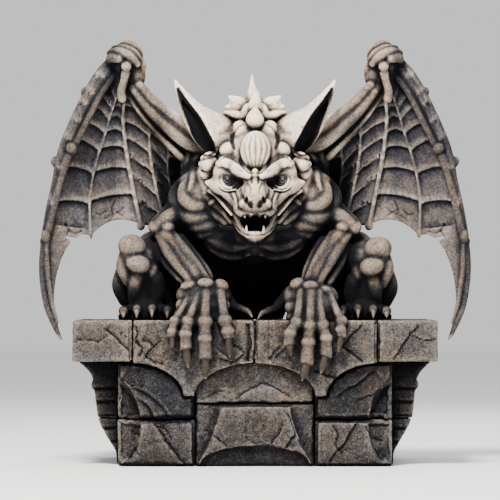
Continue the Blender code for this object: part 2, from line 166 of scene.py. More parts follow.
def smooth_path(points, steps):
    """Points along a curve through all the given ones, steps to each stretch."""
    given = np.array(points, float)
    ends = np.vstack([2 * given[0] - given[1], given, 2 * given[-1] - given[-2]])
    t = np.arange(steps)[:, None] / steps
    found = []
    for a, b, c, d in zip(ends, ends[1:], ends[2:], ends[3:]):
        found.append(0.5 * (2 * b + (c - a) * t + (2 * a - 5 * b + 4 * c - d) * t**2
                            + (3 * b - a - 3 * c + d) * t**3))
    return np.vstack([*found, given[-1:]])


def spaced(values, count):
    """This many values read evenly along a list."""
    return np.interp(np.linspace(0, len(values) - 1, count), range(len(values)), values)


class Clay:
    """Rods and balls of one mass, which are pressed together into a single skin."""

    def __init__(self, name):
        self.name = name
        self.paths = []
        self.balls = []

    def rod(self, points, radii, sides=ONE, steps=5):
        """A round rod through points, its radius read evenly along the list of radii."""
        widths = spaced(radii, len(points))
        path = domed(smooth_path([(*p, r) for p, r in zip(points, widths)], steps))
        for side in sides:
            self.paths.append(path * (side, 1, 1, 1))

    def rods(self, table, sides=ONE):
        """Rods given as (points, radii)."""
        for points, radii in table:
            self.rod(points, radii, sides)

    def ball(self, centre, size, tilt=0, sides=ONE):
        """An ellipsoid of these half sizes, tilted in the front view."""
        for side in sides:
            turn = Matrix.Rotation(math.radians(side * tilt), 4, "Y")
            place = Matrix.Translation(at(side * centre[0], centre[1], centre[2]))
            self.balls.append(place @ turn @ Matrix.Diagonal((*(s * MM for s in size), 1)))

    def rods_mesh(self):
        curve = bpy.data.curves.new(self.name + "_rods", "CURVE")
        curve.dimensions = "3D"
        curve.bevel_depth = 1.0
        curve.bevel_resolution = 4
        curve.use_fill_caps = True
        for path in self.paths:
            spline = curve.splines.new("POLY")
            spline.points.add(len(path) - 1)
            places = [(*at(*p[:3]), 1) for p in path]
            spline.points.foreach_set("co", np.array(places).ravel())
            spline.points.foreach_set("radius", path[:, 3] * MM)
        obj = bpy.data.objects.new(self.name + "_rods", curve)
        bpy.context.scene.collection.objects.link(obj)
        select_only(obj)
        bpy.ops.object.convert(target="MESH")
        return obj

    def ball_meshes(self):
        if not self.balls:
            return []
        bpy.ops.object.select_all(action="DESELECT")
        bpy.ops.mesh.primitive_uv_sphere_add(segments=28, ring_count=16, radius=1)
        first = bpy.context.object
        found = []
        for place in self.balls:
            copy = first.copy()
            copy.data = first.data.copy()
            copy.matrix_world = place
            bpy.context.scene.collection.objects.link(copy)
            found.append(copy)
        bpy.data.objects.remove(first)
        return found

    def mesh(self):
        parts = self.ball_meshes()
        if self.paths:
            parts.append(self.rods_mesh())
        return joined(parts, self.name)

    def skin(self, cell, rounds):
        obj = self.mesh()
        remesh(obj, cell, rounds)
        return obj


def domed(path):
    """The path with its two ends rounded off by shrinking steps."""
    start = path[0, :3] - path[1, :3]
    end = path[-1, :3] - path[-2, :3]
    start, end = start / np.linalg.norm(start), end / np.linalg.norm(end)
    caps = ((0.45, 0.9), (0.8, 0.6), (0.97, 0.25))
    before = [(*(path[0, :3] + start * path[0, 3] * out), path[0, 3] * share)
              for out, share in reversed(caps)]
    after = [(*(path[-1, :3] + end * path[-1, 3] * out), path[-1, 3] * share)
             for out, share in caps]
    return np.vstack([before, path, after])


class Front:
    """Where the front of a mass is, so that finer forms can be laid on it."""

    def __init__(self, obj):
        self.tree = tree_of(obj)

    def depth(self, x, z):
        hit = self.tree.ray_cast(at(x, -800, z), Vector((0, 1, 0)))[0]
        return None if hit is None else (hit.y - CAP_FRONT) / MM

    def lay(self, line, sink=0.0):
        """Points (across, up) set on the front, this far behind its surface."""
        found = [self.depth(x, z) for x, z in line]
        known = [d for d in found if d is not None]
        last = known[0]
        laid = []
        for (x, z), depth in zip(line, found):
            last = last if depth is None else depth
            laid.append((x, last + sink, z))
        return laid


class Carver:
    """Lines that are cut into the front of a mass, or raised on it, by moving its points."""

    def __init__(self, obj):
        self.obj = obj
        self.place = layout_of(obj)
        self.normal = normals_of(obj)
        # 1 where the skin faces the front, and 0 where it turns away
        self.turned = np.clip((-self.normal[:, 1] - 0.05) / 0.35, 0, 1)
        self.move = np.zeros(len(self.place), np.float32)
        self.cut = np.zeros(len(self.place), np.float32)

    def line(self, points, half, depth, profile="groove", sides=ONE, behind=None, reach=60):
        """A line through points (across, up), its half width and depth read along lists."""
        for side in sides:
            path = [(side * x, z) for x, z in points]
            path = np.array(path) if profile == "step" else smooth_path(path, 5)
            self.one_line(path, side, half, depth, profile, behind, reach)

    def one_line(self, path, side, half, depth, profile, behind, reach):
        wide = 4 * max(half) + (0 if profile in ("groove", "fold") else reach)
        flat = self.place[:, [0, 2]]
        low, high = path.min(axis=0) - wide, path.max(axis=0) + wide
        inside = np.all((flat > low) & (flat < high), axis=1) & (self.turned > 0)
        if behind is not None:
            inside &= self.place[:, 1] < behind
        index = np.nonzero(inside)[0]
        if not len(index):
            return
        near, along, left = nearest_on(path, flat[index])
        share = along / (len(path) - 1)
        width = np.interp(share, np.linspace(0, 1, len(half)), half)
        height = np.interp(share, np.linspace(0, 1, len(depth)), depth)
        height *= self.turned[index] * np.clip(np.minimum(share, 1 - share) / 0.08 + 0.15, 0, 1)
        self.move[index] += height * across_line(profile, left * side * near / width, width, reach)
        if profile == "step":
            deep = np.exp(-(near / (width * 0.9)) ** 2) * np.minimum(height / 5, 1)
            self.cut[index] = np.maximum(self.cut[index], deep)

    def finish(self):
        places = points_of(self.obj) + self.normal * (self.move * MM)[:, None]
        set_points(self.obj, places)


def across_line(profile, s, width, reach):
    """The share of its depth at s half widths to the left of a line."""
    if profile == "groove":
        return -np.exp(-s**2)
    if profile == "fold":
        return 0.8 * np.exp(-((s - 1.5) / 1.1) ** 2) - np.exp(-((s + 0.1) / 0.8) ** 2)
    if profile == "ledge":
        beyond = np.maximum(-s, 0)
        fading = np.exp(-beyond * width / (3 * reach))
        return -np.minimum(beyond, 1) * fading - 0.4 * np.exp(-s**2)
    return -np.exp(-np.maximum(s, 0) * width / reach) * (s > 0) - 0.9 * np.exp(-s**2)


def nearest_on(path, points):
    """How far each point is from a path, how far along it, and on which side (1 is left)."""
    best = np.full(len(points), np.inf, np.float32)
    along = np.zeros(len(points), np.float32)
    left = np.ones(len(points), np.float32)
    for k, (a, b) in enumerate(zip(path, path[1:])):
        step = b - a
        size = max(float(step @ step), 1e-6)
        t = np.clip((points - a) @ step / size, 0, 1)
        gap = points - (a + t[:, None] * step)
        distance = np.hypot(gap[:, 0], gap[:, 1])
        closer = distance < best
        best[closer] = distance[closer]
        along[closer] = k + t[closer]
        left[closer] = np.sign(step[0] * gap[closer, 1] - step[1] * gap[closer, 0])
    return best, along, left


# The body

def body_mass(clay):
    """The trunk, shoulders, haunches and thighs."""
    clay.rods((
        ([(0, 440, 130), (0, 350, 235), (0, 235, 335), (0, 180, 400)], [132, 128, 146, 138]),
        ([(0, 470, 60), (0, 430, 110)], [110, 130]),
        ([(0, 250, 430), (0, 130, 450), (0, 90, 465)], [140, 112, 98]),
        ([(0, 200, 330), (0, 150, 290), (0, 190, 240)], [130, 112, 70]),
    ))
    clay.rods((
        ([(95, 240, 420), (160, 205, 385), (186, 176, 340)], [116, 84, 66]),
        ([(110, 150, 430), (150, 140, 372), (140, 130, 320)], [62, 78, 68]),
        ([(60, 130, 300), (120, 140, 262), (60, 150, 236)], [60, 56, 50]),
        ([(206, 190, 348), (252, 160, 310), (284, 130, 286)], [58, 46, 38]),
        ([(120, 410, 150), (250, 290, 185), (350, 110, 185)], [130, 112, 58]),
        ([(362, 120, 150), (364, 180, 96), (344, 235, 42)], [48, 50, 36]),
        ([(330, 196, 110), (262, 220, 84), (205, 245, 96)], [56, 70, 60]),
        ([(310, 170, 30), (246, 200, 30), (190, 225, 40)], [38, 40, 40]),
        ([(352, 240, 30), (335, 160, 28), (328, 100, 24)], [38, 44, 40]),
    ), BOTH)


SPINE = ((300, 560), (350, 528), (384, 472), (396, 412), (414, 352), (456, 304), (504, 250),
         (546, 192))


def body_back(clay):
    """The spine's knobs, the ribs' arches, and the muscles of back and haunch."""
    for back, up in SPINE:
        clay.ball((0, back, up), (25, 26, 24))
        clay.ball((0, back + 12, up + 8), (12, 16, 12))
    for k in range(4):
        drop = 52 * k
        clay.rod([(18, 392 + 8 * k, 430 - drop), (80, 368 + 14 * k, 418 - drop),
                  (128, 300 + 20 * k, 392 - drop), (146, 230 + 22 * k, 360 - drop)],
                 [10, 15, 15, 8], BOTH)
    clay.rods((
        ([(40, 330, 545), (110, 300, 500), (160, 250, 440)], [26, 40, 26]),
        ([(150, 440, 210), (240, 352, 262), (330, 190, 250)], [26, 34, 18]),
        ([(170, 480, 130), (270, 380, 170), (352, 220, 180)], [22, 34, 20]),
    ), BOTH)


# Rolls of hide on the breast and shoulders: places (across, up), half widths, depth of the axis
ROLLS = (
    ([(176, 452), (205, 420), (232, 384), (226, 338), (180, 312), (112, 320)],
     [16, 27, 33, 33, 30, 14], 16),
    ([(186, 440), (208, 404), (208, 366), (176, 344), (118, 352)], [12, 23, 27, 25, 12], 12),
    ([(230, 316), (198, 288), (138, 290), (76, 306)], [12, 21, 21, 11], 12),
    ([(236, 290), (208, 264), (150, 266), (96, 284)], [11, 19, 19, 10], 11),
    ([(150, 254), (112, 236), (66, 226), (16, 230)], [10, 20, 22, 12], 12),
    ([(132, 216), (98, 202), (60, 196), (18, 204)], [9, 16, 16, 10], 9),
)
# Cords of the neck, from behind the ears down to the shoulders
CORDS = (
    ([(176, 505), (187, 470), (184, 430), (197, 392)], [12, 18, 15, 10], 6),
    ([(198, 520), (208, 486), (210, 448), (218, 418)], [14, 20, 19, 12], 8),
    ([(158, 480), (160, 440), (150, 404), (150, 366)], [12, 17, 15, 10], 6),
)


def shoulder_rolls(clay, front):
    """Heavy rolls of hide round the shoulders and under the throat."""
    for lines in (ROLLS, CORDS):
        for side in BOTH:
            for line, radii, sink in lines:
                clay.rod(front.lay([(side * x, z) for x, z in smooth_path(line, 3)], sink),
                         radii, steps=2)
    clay.rod([(0, 96, 318), (40, 84, 300), (92, 86, 300)], [40, 36, 30], BOTH)


# The arms and hands

# Each forearm's strands from elbow to wrist, and the half widths down each
LEFT_STRANDS = (
    [(-290, 96, 256), (-264, 66, 208), (-232, 46, 164), (-208, 32, 134), (-194, 24, 110)],
    [(-252, 98, 262), (-216, 68, 212), (-180, 50, 168), (-156, 38, 136), (-140, 32, 112)],
    [(-272, 96, 254), (-223, 69, 190), (-186, 46, 146), (-168, 36, 114)],
    [(-296, 104, 222), (-270, 88, 176), (-234, 66, 134), (-208, 44, 106)],
    [(-226, 116, 246), (-182, 88, 186), (-146, 66, 140), (-132, 44, 102)],
)
RIGHT_STRANDS = (
    [(280, 96, 256), (246, 66, 208), (220, 46, 164), (202, 32, 132), (190, 24, 106)],
    [(236, 98, 260), (208, 68, 210), (182, 50, 166), (166, 38, 134), (154, 32, 108)],
    [(254, 96, 254), (213, 69, 190), (188, 46, 144), (174, 36, 112)],
    [(280, 104, 224), (260, 88, 176), (234, 66, 130), (216, 44, 102)],
    [(206, 116, 240), (180, 88, 186), (158, 66, 140), (148, 44, 100)],
)
STRAND_RADII = ([15, 19, 16, 13, 14], [14, 19, 16, 13, 13], [26, 28, 23, 18], [15, 16, 13, 8],
                [17, 20, 16, 9])


def arms(clay):
    clay.rod([(226, 136, 336), (262, 112, 308), (290, 100, 288)], [22, 26, 22], BOTH)
    clay.ball((300, 104, 280), (25, 26, 22), tilt=-20, sides=BOTH)
    clay.ball((266, 98, 280), (24, 25, 21), sides=BOTH)
    for strands in (LEFT_STRANDS, RIGHT_STRANDS):
        for points, radii in zip(strands, STRAND_RADII):
            clay.rod(points, radii)


# Each finger from the wrist: wrist, knuckle, middle joint, last joint and claw tip, half width
LEFT_FINGERS = (
    ((-190, 22, 82), (-238, -4, -4), (-247, -18, -34), (-248, -18, -46), (-247, -22, -84), 15),
    ((-168, 12, 76), (-200, -8, -6), (-208, -26, -42), (-206, -26, -80), (-199, -32, -143), 19),
    ((-147, 8, 80), (-150, -12, -6), (-150, -30, -56), (-148, -28, -108), (-147, -34, -176), 21),
    ((-105, 14, 84), (-92, -8, -2), (-82, -24, -34), (-80, -22, -48), (-76, -28, -112), 19),
)
RIGHT_FINGERS = (
    ((140, 12, 84), (127, -10, -8), (106, -28, -40), (102, -26, -70), (108, -30, -108), 18),
    ((168, 6, 84), (165, -14, -18), (160, -30, -66), (156, -28, -124), (140, -34, -182), 21),
    ((190, 10, 80), (200, -14, -16), (212, -30, -54), (212, -26, -102), (196, -32, -160), 19),
    ((222, 18, 74), (258, -6, -4), (256, -22, -30), (258, -22, -44), (248, -26, -94), 16),
)


def finger(clay, cuffs, claws, wrist, knuckle, middle, last, tip, half):
    """A finger hooked over the cap's edge: bone, swollen joints, a cuff and the claw in it."""
    arch = (Vector(wrist) + Vector(knuckle)) / 2 - Vector((0, 6, 0))
    clay.rod([wrist, arch, knuckle], [half * 0.9, half * 0.76, half * 0.95])
    clay.ball(knuckle, (half * 1.25, half * 1.2, half * 1.2))
    for drop in (0.15, 0.6):
        clay.ball((knuckle[0], knuckle[1] - half * 0.75, knuckle[2] - half * drop),
                  (half * 0.8, half * 0.5, half * 0.2))
    clay.rod([knuckle, middle], [half * 0.95, half * 0.74, half * 0.95])
    clay.ball(middle, (half * 1.12, half * 1.08, half * 0.95))
    clay.rod([middle, last], [half * 0.95, half * 0.82, half * 1.06])
    a, b = Vector(last), Vector(tip)
    along = (b - a).normalized()
    cuffs.ball(a + along * half * 1.1, (half * 0.9, half * 0.9, half * 0.8))
    root = a + along * half * 0.1
    hook = Vector((0, -half * 0.4, 0))
    claws.rod([root, root + (b - root) * 0.33 + hook * 0.8, root + (b - root) * 0.68 + hook, b],
              [half * 0.72, half * 0.74, half * 0.52, half * 0.1], steps=6)


# The knobs across each wrist: how far back they are, their half sizes and their tilt
WRIST_BONES = ((24, (27, 22, 16), 12), (12, (26, 22, 17), 0), (24, (24, 24, 19), -20))
# The backs of the hands, and the thumbs
PALM_RODS = (
    ([(200, 46, 74), (150, 36, 78), (106, 46, 74)], [38, 42, 36]),
    ([(214, 26, 44), (152, 17, 44), (100, 26, 44)], [25, 29, 25]),
    ([(224, 22, 14), (154, 14, 12), (98, 22, 14)], [20, 24, 20]),
    ([(98, 56, 90), (80, 58, 62), (62, 50, 40)], [22, 17, 13]),
    ([(62, 50, 40), (46, 42, 36), (38, 40, 34)], [13, 12, 11]),
)


def hands(clay, cuffs, claws):
    clay.ball((-160, 11, 42), (54, 22, 44))
    clay.ball((178, 9, 40), (60, 22, 46))
    for fingers in (LEFT_FINGERS, RIGHT_FINGERS):
        for places in fingers:
            finger(clay, cuffs, claws, *places)
    for side, nudge, shift, bumps in ((-1, 0, 0, ((198, 104), (149, 110), (103, 104))),
                                      (1, 6, 14, ((192, 96), (152, 108), (114, 114)))):
        def placed(points):
            return [(side * (x + shift * (x > 90)), y, z - nudge) for x, y, z in points]
        for (out, up), (back, size, tilt) in zip(bumps, WRIST_BONES):
            clay.ball(placed([(out, back, up)])[0], size, tilt=side * tilt)
        for points, radii in PALM_RODS:
            clay.rod(placed(points), radii)
        claws.rod(placed([(40, 38, 32), (22, 26, 27), (8, 18, 8)]), [9, 8, 2])


# The hind legs

# The knees and shins: centres, half sizes and tilts, then rods
LEG_BALLS = (((370, 86, 219), (46, 50, 39), -24), ((353, 68, 170), (40, 46, 31), -18),
             ((312, 84, 148), (22, 26, 28), 0))
LEG_RODS = (
    ([(374, 84, 212), (358, 74, 172)], [35, 35]),
    ([(392, 92, 200), (396, 84, 160), (384, 90, 118)], [20, 25, 18]),
    ([(402, 124, 150), (410, 130, 104), (394, 144, 62)], [22, 26, 24]),
    ([(350, 80, 150), (360, 84, 112), (366, 104, 62)], [26, 26, 20]),
    ([(300, 90, 128), (296, 110, 84), (310, 120, 40)], [24, 28, 24]),
    ([(346, 98, 132), (340, 110, 84), (340, 112, 40)], [32, 32, 28]),
)
# Where each toe is, across and up
TOES = ((396, 12), (356, 18), (310, 20), (264, 14))


def legs(clay, claws):
    for side, lift in ((-1, 0), (1, -7)):
        def placed(points):
            return [(side * x, y, z + lift) for x, y, z in points]
        for centre, size, tilt in LEG_BALLS:
            clay.ball(*placed([centre]), size, tilt=side * tilt)
        for points, radii in LEG_RODS:
            clay.rod(placed(points), radii)
        clay.rod([(side * 402, 100, 9), (side * 330, 96, 9), (side * 258, 104, 9)], [14])
        for out, up in TOES:
            toe(clay, claws, side, out, up)


def toe(clay, claws, side, out, up):
    root = (side * (330 + (out - 330) * 0.6), 112, 26)
    clay.rod([root, (side * out, 74, up + 16), (side * out, 52, up + 9)], [20, 16, 13])
    clay.ball((side * out, 62, up + 16), (15, 17, 14))
    claws.rod([(side * out, 48, up + 8), (side * out, 34, up + 6), (side * out, 27, 3)],
              [8, 7.5, 1.5])


# The head

def head_mass(clay):
    """The skull, cheeks and muzzle before anything is cut into them."""
    clay.ball((0, 92, 498), (106, 124, 92))
    clay.ball((0, 46, 424), (96, 80, 62))
    clay.rod([(0, 30, 410), (0, -24, 386), (0, -50, 362)], [64, 54, 44])
    clay.rod([(0, -10, 420), (0, -50, 396), (0, -76, 370), (0, -86, 346)], [22, 28, 34, 34])
    clay.ball((0, -84, 338), (42, 34, 27))
    clay.rods((
        ([(46, -14, 388), (47, -42, 362), (44, -58, 336)], [18, 22, 21]),
        ([(60, -8, 408), (104, 14, 404), (150, 36, 416)], [34, 30, 6]),
        ([(152, 34, 416), (118, 10, 402), (86, -8, 382), (60, -26, 356), (48, -42, 332)],
         [4, 14, 18, 18, 13]),
    ), BOTH)
    clay.ball((92, 22, 446), (34, 36, 42), tilt=-18, sides=BOTH)
    clay.rod([(-4, 120, 560), (0, 104, 610), (0, 104, 640)], [62, 48, 24])
    clay.rod([(95, 84, 545), (117, 74, 560), (145, 68, 582), (176, 66, 613), (206, 70, 656),
              (235, 74, 708), (242, 75, 728)], [64, 64, 58, 44, 28, 11, 5], BOTH)
    clay.rod([(70, 120, 420), (60, 150, 380)], [60, 66], BOTH)


def jaw(clay):
    clay.rod([(92, 66, 366), (73, 34, 344), (54, -2, 310), (38, -36, 278), (21, -62, 256),
              (0, -70, 251)], [17, 12, 10, 10, 12, 14], BOTH)
    clay.rod([(76, 70, 340), (54, 34, 304), (34, 4, 268), (0, -16, 258)], [21, 18, 14, 15], BOTH)
    clay.rod([(0, 60, 270), (0, -30, 254)], [40, 18])


def sockets():
    """What is cut out of the head: the eye sockets, the mouth, and the cheeks' hollows."""
    clay = Clay("head_cutter")
    clay.rod([(100, -24, 438), (78, -30, 424), (48, -38, 407), (27, -46, 402)],
             [13, 22, 19, 9], BOTH)
    clay.rod([(28, -120, 298), (28, 20, 294)], [16, 15], BOTH)
    clay.rod([(0, -130, 298), (0, 30, 292)], [17, 17])
    clay.rod([(16, -130, 280), (15, 20, 280)], [20, 18], BOTH)
    clay.rod([(124, -16, 376), (98, -30, 350), (72, -50, 318)], [8, 12, 8], BOTH)
    return clay.skin(HEAD_CELL, 0)


EAR_OPENING = ((233, 698), (215, 652), (188, 602), (167, 558), (145, 522), (128, 502))


def ear_openings(front):
    clay = Clay("ear_cutter")
    for side in BOTH:
        for sink, radii in ((2, [3, 15, 24, 30, 28, 12]), (26, [2, 9, 16, 22, 20, 8])):
            clay.rod(front.lay([(side * x, z) for x, z in EAR_OPENING], sink), radii)
    return clay.skin(HEAD_CELL, 0)


def brows(clay, front):
    """The heavy slabs over the eyes, the mounds above them, and the knot between them."""
    for side in BOTH:
        slab_line = [(side * x, z) for x, z in ((106, 469), (90, 473), (68, 467), (44, 450),
                                                (20, 436))]
        clay.rod(front.lay(slab_line, 12), [13, 24, 30, 30, 17])
        clay.rod(front.lay([(x, z - 3) for x, z in slab_line], -6), [8, 15, 20, 22, 13])
        clay.rod(front.lay([(x, z - 8) for x, z in slab_line[1:]], -12), [8, 12, 15, 10])
        clay.ball((side * 78, front.depth(side * 78, 508) + 12, 510), (29, 30, 27))
        clay.ball((side * 98, front.depth(side * 98, 492) + 14, 492), (17, 24, 18))
    clay.ball((0, front.depth(0, 436) - 2, 434), (12, 14, 19))


def eyes(clay):
    clay.ball((80, -1, 421), (21, 14, 18), sides=BOTH)
    clay.ball((80, 14, 418), (34, 18, 27), sides=BOTH)


def muzzle(clay):
    """The lips, and the folds beside the nose."""
    clay.rod([(40, -30, 398), (39, -52, 384), (33, -72, 368)], [5, 9, 6], BOTH)
    clay.ball((33, -88, 346), (16, 18, 15), tilt=24, sides=BOTH)
    clay.rod([(58, -46, 332), (42, -74, 320), (20, -92, 314), (0, -95, 312)],
             [8, 12, 13, 13], BOTH)


def nostrils():
    clay = Clay("nostril_cutter")
    clay.rod([(29, -128, 364), (23, -120, 352), (13, -120, 337)], [4, 7.5, 5], BOTH)
    clay.rod([(25, -104, 357), (19, -98, 346)], [6.5, 6.5], BOTH)
    return clay.skin(HEAD_CELL, 0)


def mouth():
    clay = Clay("mouth_cutter")
    clay.rod([(27, -140, 298), (27, 20, 294)], [15, 14], BOTH)
    clay.rod([(0, -140, 297), (0, 30, 292)], [16, 16])
    clay.rod([(15, -140, 284), (14, 20, 282)], [17, 16], BOTH)
    return clay.skin(HEAD_CELL, 0)


def teeth(clay):
    clay.rod([(31, -84, 322), (31, -88, 312), (30, -90, 303)], [4.5, 3.6, 1], BOTH)
    clay.rod([(25, -72, 262), (26, -76, 272), (25, -78, 283)], [4.5, 3.6, 0.9], BOTH)
    for out in (4, 11):
        clay.rod([(out, -76, 256), (out, -79, 265)], [2.8, 1.3], BOTH)
    for k in range(3):
        clay.rod([(42 + 7 * k, -62 + 22 * k, 322 + 6 * k), (41 + 7 * k, -60 + 22 * k, 308 + 6 * k)],
                 [3.6, 1.2], BOTH)


def crest(clay, front):
    """The ribbed bulb on the brow, and leaves that climb the skull behind it to a spire."""
    clay.ball((2, front.depth(0, 505) + 14, 505), (47, 40, 62))
    clay.ball((38, 42, 559), (33, 34, 44), tilt=22, sides=BOTH)
    clay.ball((62, 56, 540), (26, 28, 32), tilt=30, sides=BOTH)
    clay.rods((
        ([(2, 30, 642), (0, 24, 618), (0, 22, 596), (0, 26, 572)], [3, 22, 28, 12]),
        ([(2, 46, 688), (2, 46, 668), (0, 50, 646)], [2, 15, 22]),
        ([(-9, 96, 744), (-8, 96, 708), (-4, 98, 676), (0, 106, 640)], [3, 11, 25, 40]),
    ))
    clay.rods((
        ([(10, 62, 652), (22, 58, 640), (36, 58, 616), (62, 62, 620), (90, 74, 626)],
         [9, 14, 15, 14, 7]),
        ([(22, 92, 644), (44, 84, 654), (62, 84, 664), (76, 86, 676)], [18, 22, 17, 6]),
        ([(34, 78, 634), (56, 76, 644), (74, 80, 652)], [13, 15, 7]),
        ([(30, 80, 622), (58, 74, 632), (86, 80, 646)], [12, 12, 6]),
        ([(30, 110, 600), (64, 108, 606), (88, 100, 604)], [40, 34, 24]),
    ), BOTH)


def ear_curls(clay):
    clay.rods((
        ([(124, 40, 500), (142, 42, 494), (156, 56, 488)], [9, 12, 9]),
        ([(122, 36, 478), (142, 34, 466), (160, 50, 470)], [11, 19, 11]),
        ([(136, 46, 446), (150, 52, 438), (162, 64, 446)], [9, 14, 9]),
        ([(138, 50, 390), (114, 32, 372), (92, 12, 344), (70, -8, 316)], [6, 7, 6, 4]),
        ([(150, 72, 374), (124, 58, 352), (98, 42, 330), (72, 28, 296)], [12, 15, 12, 7]),
        ([(146, 80, 350), (116, 66, 322), (90, 50, 300)], [16, 18, 14]),
    ), BOTH)
    clay.ball((126, 50, 356), (17, 14, 10), tilt=30, sides=BOTH)


# Lines cut into the face: places (across, up), half widths, depths
FACE_LINES = (
    ([(104, 488), (84, 492), (60, 480), (34, 456)], [4, 5, 5, 4], [3, 5, 4, 2]),
    ([(38, 408), (45, 392), (40, 372), (31, 358)], [3, 4, 4, 3], [3, 7, 6, 3]),
    ([(22, 410), (15, 392), (13, 374)], [3, 4, 3], [2, 4, 1]),
    ([(66, 396), (57, 376), (50, 352), (50, 330)], [3, 4, 4, 3], [2, 5, 5, 3]),
    ([(78, 384), (68, 364), (60, 340)], [3, 3, 3], [2, 4, 2]),
    ([(10, 428), (10, 406)], [3, 3], [3, 4]),
    ([(58, 458), (42, 446), (32, 440)], [9, 11, 8], [1, 4, 1]),
    ([(80, 300), (56, 276), (32, 257), (0, 252)], [3, 3.5, 3.5, 3], [2, 5, 5, 5]),
    ([(33, 590), (56, 576), (70, 544), (60, 508)], [4, 5, 5, 4], [3, 5, 5, 3]),
    ([(50, 520), (48, 492), (36, 462), (16, 442), (0, 438)], [4, 4, 4, 4], [3, 5, 5, 3]),
    ([(112, 560), (84, 566), (70, 590)], [8, 12, 8], [2, 5, 2]),
)


def arc(across, up, radius, degrees):
    """Points on a circle round this place, at these angles."""
    return [(across + radius * math.cos(math.radians(a)), up + radius * math.sin(math.radians(a)))
            for a in degrees]


def carve_face(obj):
    """Cuts the wrinkles, the rings of the eyes with the folds under them, and the brow's ribs."""
    knife = Carver(obj)
    for points, half, depth in FACE_LINES:
        knife.line(points, half, depth, sides=BOTH, behind=90)
    for radius in (7, 13, 19, 25):
        knife.line(arc(82, 423, radius, range(150, 391, 24)), [2.2], [3.6], sides=BOTH, behind=60)
    for radius in (33, 41):
        knife.line(arc(78, 424, radius, range(200, 331, 20)), [3.4], [3.5, 5, 3.5], "fold", BOTH,
                   behind=60)
    for out, bend in ((2, 0), (18, 9), (-15, -9), (33, 14), (-29, -14)):
        knife.line([(out * 0.6, 560), (out + bend * 0.4, 512), (out * 0.5, 452)], [3, 5, 3],
                   [1, 4.5, 1.5], behind=60)
    knife.finish()


def head():
    """The whole head as one skin, its teeth, and the places of its openings that are painted with
    shade.
    """
    mass = Clay("head_mass")
    head_mass(mass)
    rough = mass.skin(ROUGH_CELL, 3)
    front = Front(rough)
    added = Clay("head_forms")
    crest(added, front)
    face = joined([rough, added.mesh()], "head")
    remesh(face, HEAD_CELL, 3)
    openings = ear_openings(front)
    dark = [points_of(openings)]
    boolean(face, openings, "DIFFERENCE")
    boolean(face, sockets(), "DIFFERENCE")
    later = Clay("face")
    brows(later, front)
    eyes(later)
    muzzle(later)
    jaw(later)
    ear_curls(later)
    face = joined([face, later.mesh()], "head")
    remesh(face, HEAD_CELL, 2)
    holes = nostrils()
    opened = mouth()
    dark += [points_of(holes), points_of(opened)]
    boolean(face, holes, "DIFFERENCE")
    boolean(face, opened, "DIFFERENCE")
    carve_face(face)
    biting = Clay("teeth")
    teeth(biting)
    return face, biting, np.vstack(dark)


# The wings. Out, back and up, from the wrist down each bone

WING_ARM = ((80, 300, 450), (150, 250, 512), (225, 200, 560), (298, 152, 614), (356, 118, 692),
            (374, 106, 756))
OUTER_BONE = ((434, 116, 792), (474, 106, 746), (510, 98, 684), (548, 92, 602), (584, 88, 510),
              (602, 86, 418), (620, 84, 343), (632, 84, 262))
INNER_BONE = ((420, 104, 752), (462, 92, 696), (499, 84, 624), (535, 80, 552), (554, 78, 520))
LOWER_BONE = ((566, 76, 496), (589, 72, 420), (607, 70, 345), (626, 70, 268))
WING_CLAW = ((634, 84, 243), (640, 88, 150), (630, 94, 48), (606, 100, -20), (590, 104, -58))
RIBS = (
    ((412, 122, 700), (436, 132, 630), (458, 148, 560), (474, 156, 514), (492, 160, 447),
     (502, 158, 380), (503, 154, 320), (500, 148, 258)),
    ((392, 120, 700), (402, 142, 620), (398, 166, 555), (391, 184, 500), (378, 202, 425),
     (362, 212, 345), (349, 218, 292)),
    ((322, 146, 620), (322, 186, 540), (318, 208, 480), (308, 224, 425), (290, 232, 350),
     (272, 236, 286)),
    ((258, 190, 560), (268, 226, 480), (262, 244, 420), (250, 256, 360), (226, 262, 282)),
    ((176, 240, 510), (150, 290, 420), (120, 310, 330)),
)
RIB_HALF = (4.2, 6.6, 5.0, 4.2)
# The web between each two bones: its rows, as shares down the outer and the inner bone, and how
# far its lower edge rises
WEBS = (
    ((0.10, 0.21, 0.28, 0.38, 0.48, 0.64, 0.83), (0.06, 0.13, 0.20, 0.30, 0.42, 0.58, 0.78), 0.01),
    ((0.05, 0.11, 0.18, 0.28, 0.40, 0.56, 0.76), (0.06, 0.14, 0.21, 0.30, 0.42, 0.57, 0.76), 0.07),
    ((0.10, 0.22, 0.34, 0.48, 0.63, 0.82), (0.02, 0.16, 0.32, 0.50, 0.70, 0.88), 0.0),
    ((0.12, 0.26, 0.42, 0.60, 0.80), (0.12, 0.28, 0.46, 0.64, 0.84), 0.05),
    ((0.2, 0.42, 0.64, 0.84), (0.2, 0.42, 0.64, 0.84), 0.04),
)
# How far each tile's lip stands out, and how far a row arches as a share of the bones' length
ROW_STEP = 13.0
ROW_ARCH = 0.02
# The width of a lip, and the height of a row under which its tiles swell less, as such shares
LIP_SHARE = 0.008
FULL_ROW = 0.10
# How far a web sags backwards between its bones, and the half thickness of the webs
WEB_SAG = 20
WEB_HALF = 8.0
CLAW_WEB_HALF = 6.5
# How many points a web's sheet has across and down
WEB_COLUMNS = 26
WEB_LINES = 190
# Places are given outwards, and the wing is made on the left
LEFTWARD = (-1, 1, 1)


def reader(points):
    """A function of the share along a curve, from 0 to 1, giving its points."""
    path = smooth_path(points, 10)
    lengths = np.concatenate([[0], np.cumsum(np.linalg.norm(np.diff(path, axis=0), axis=1))])
    return lambda t: np.stack([np.interp(t * lengths[-1], lengths, path[:, k]) for k in range(3)],
                              axis=-1)


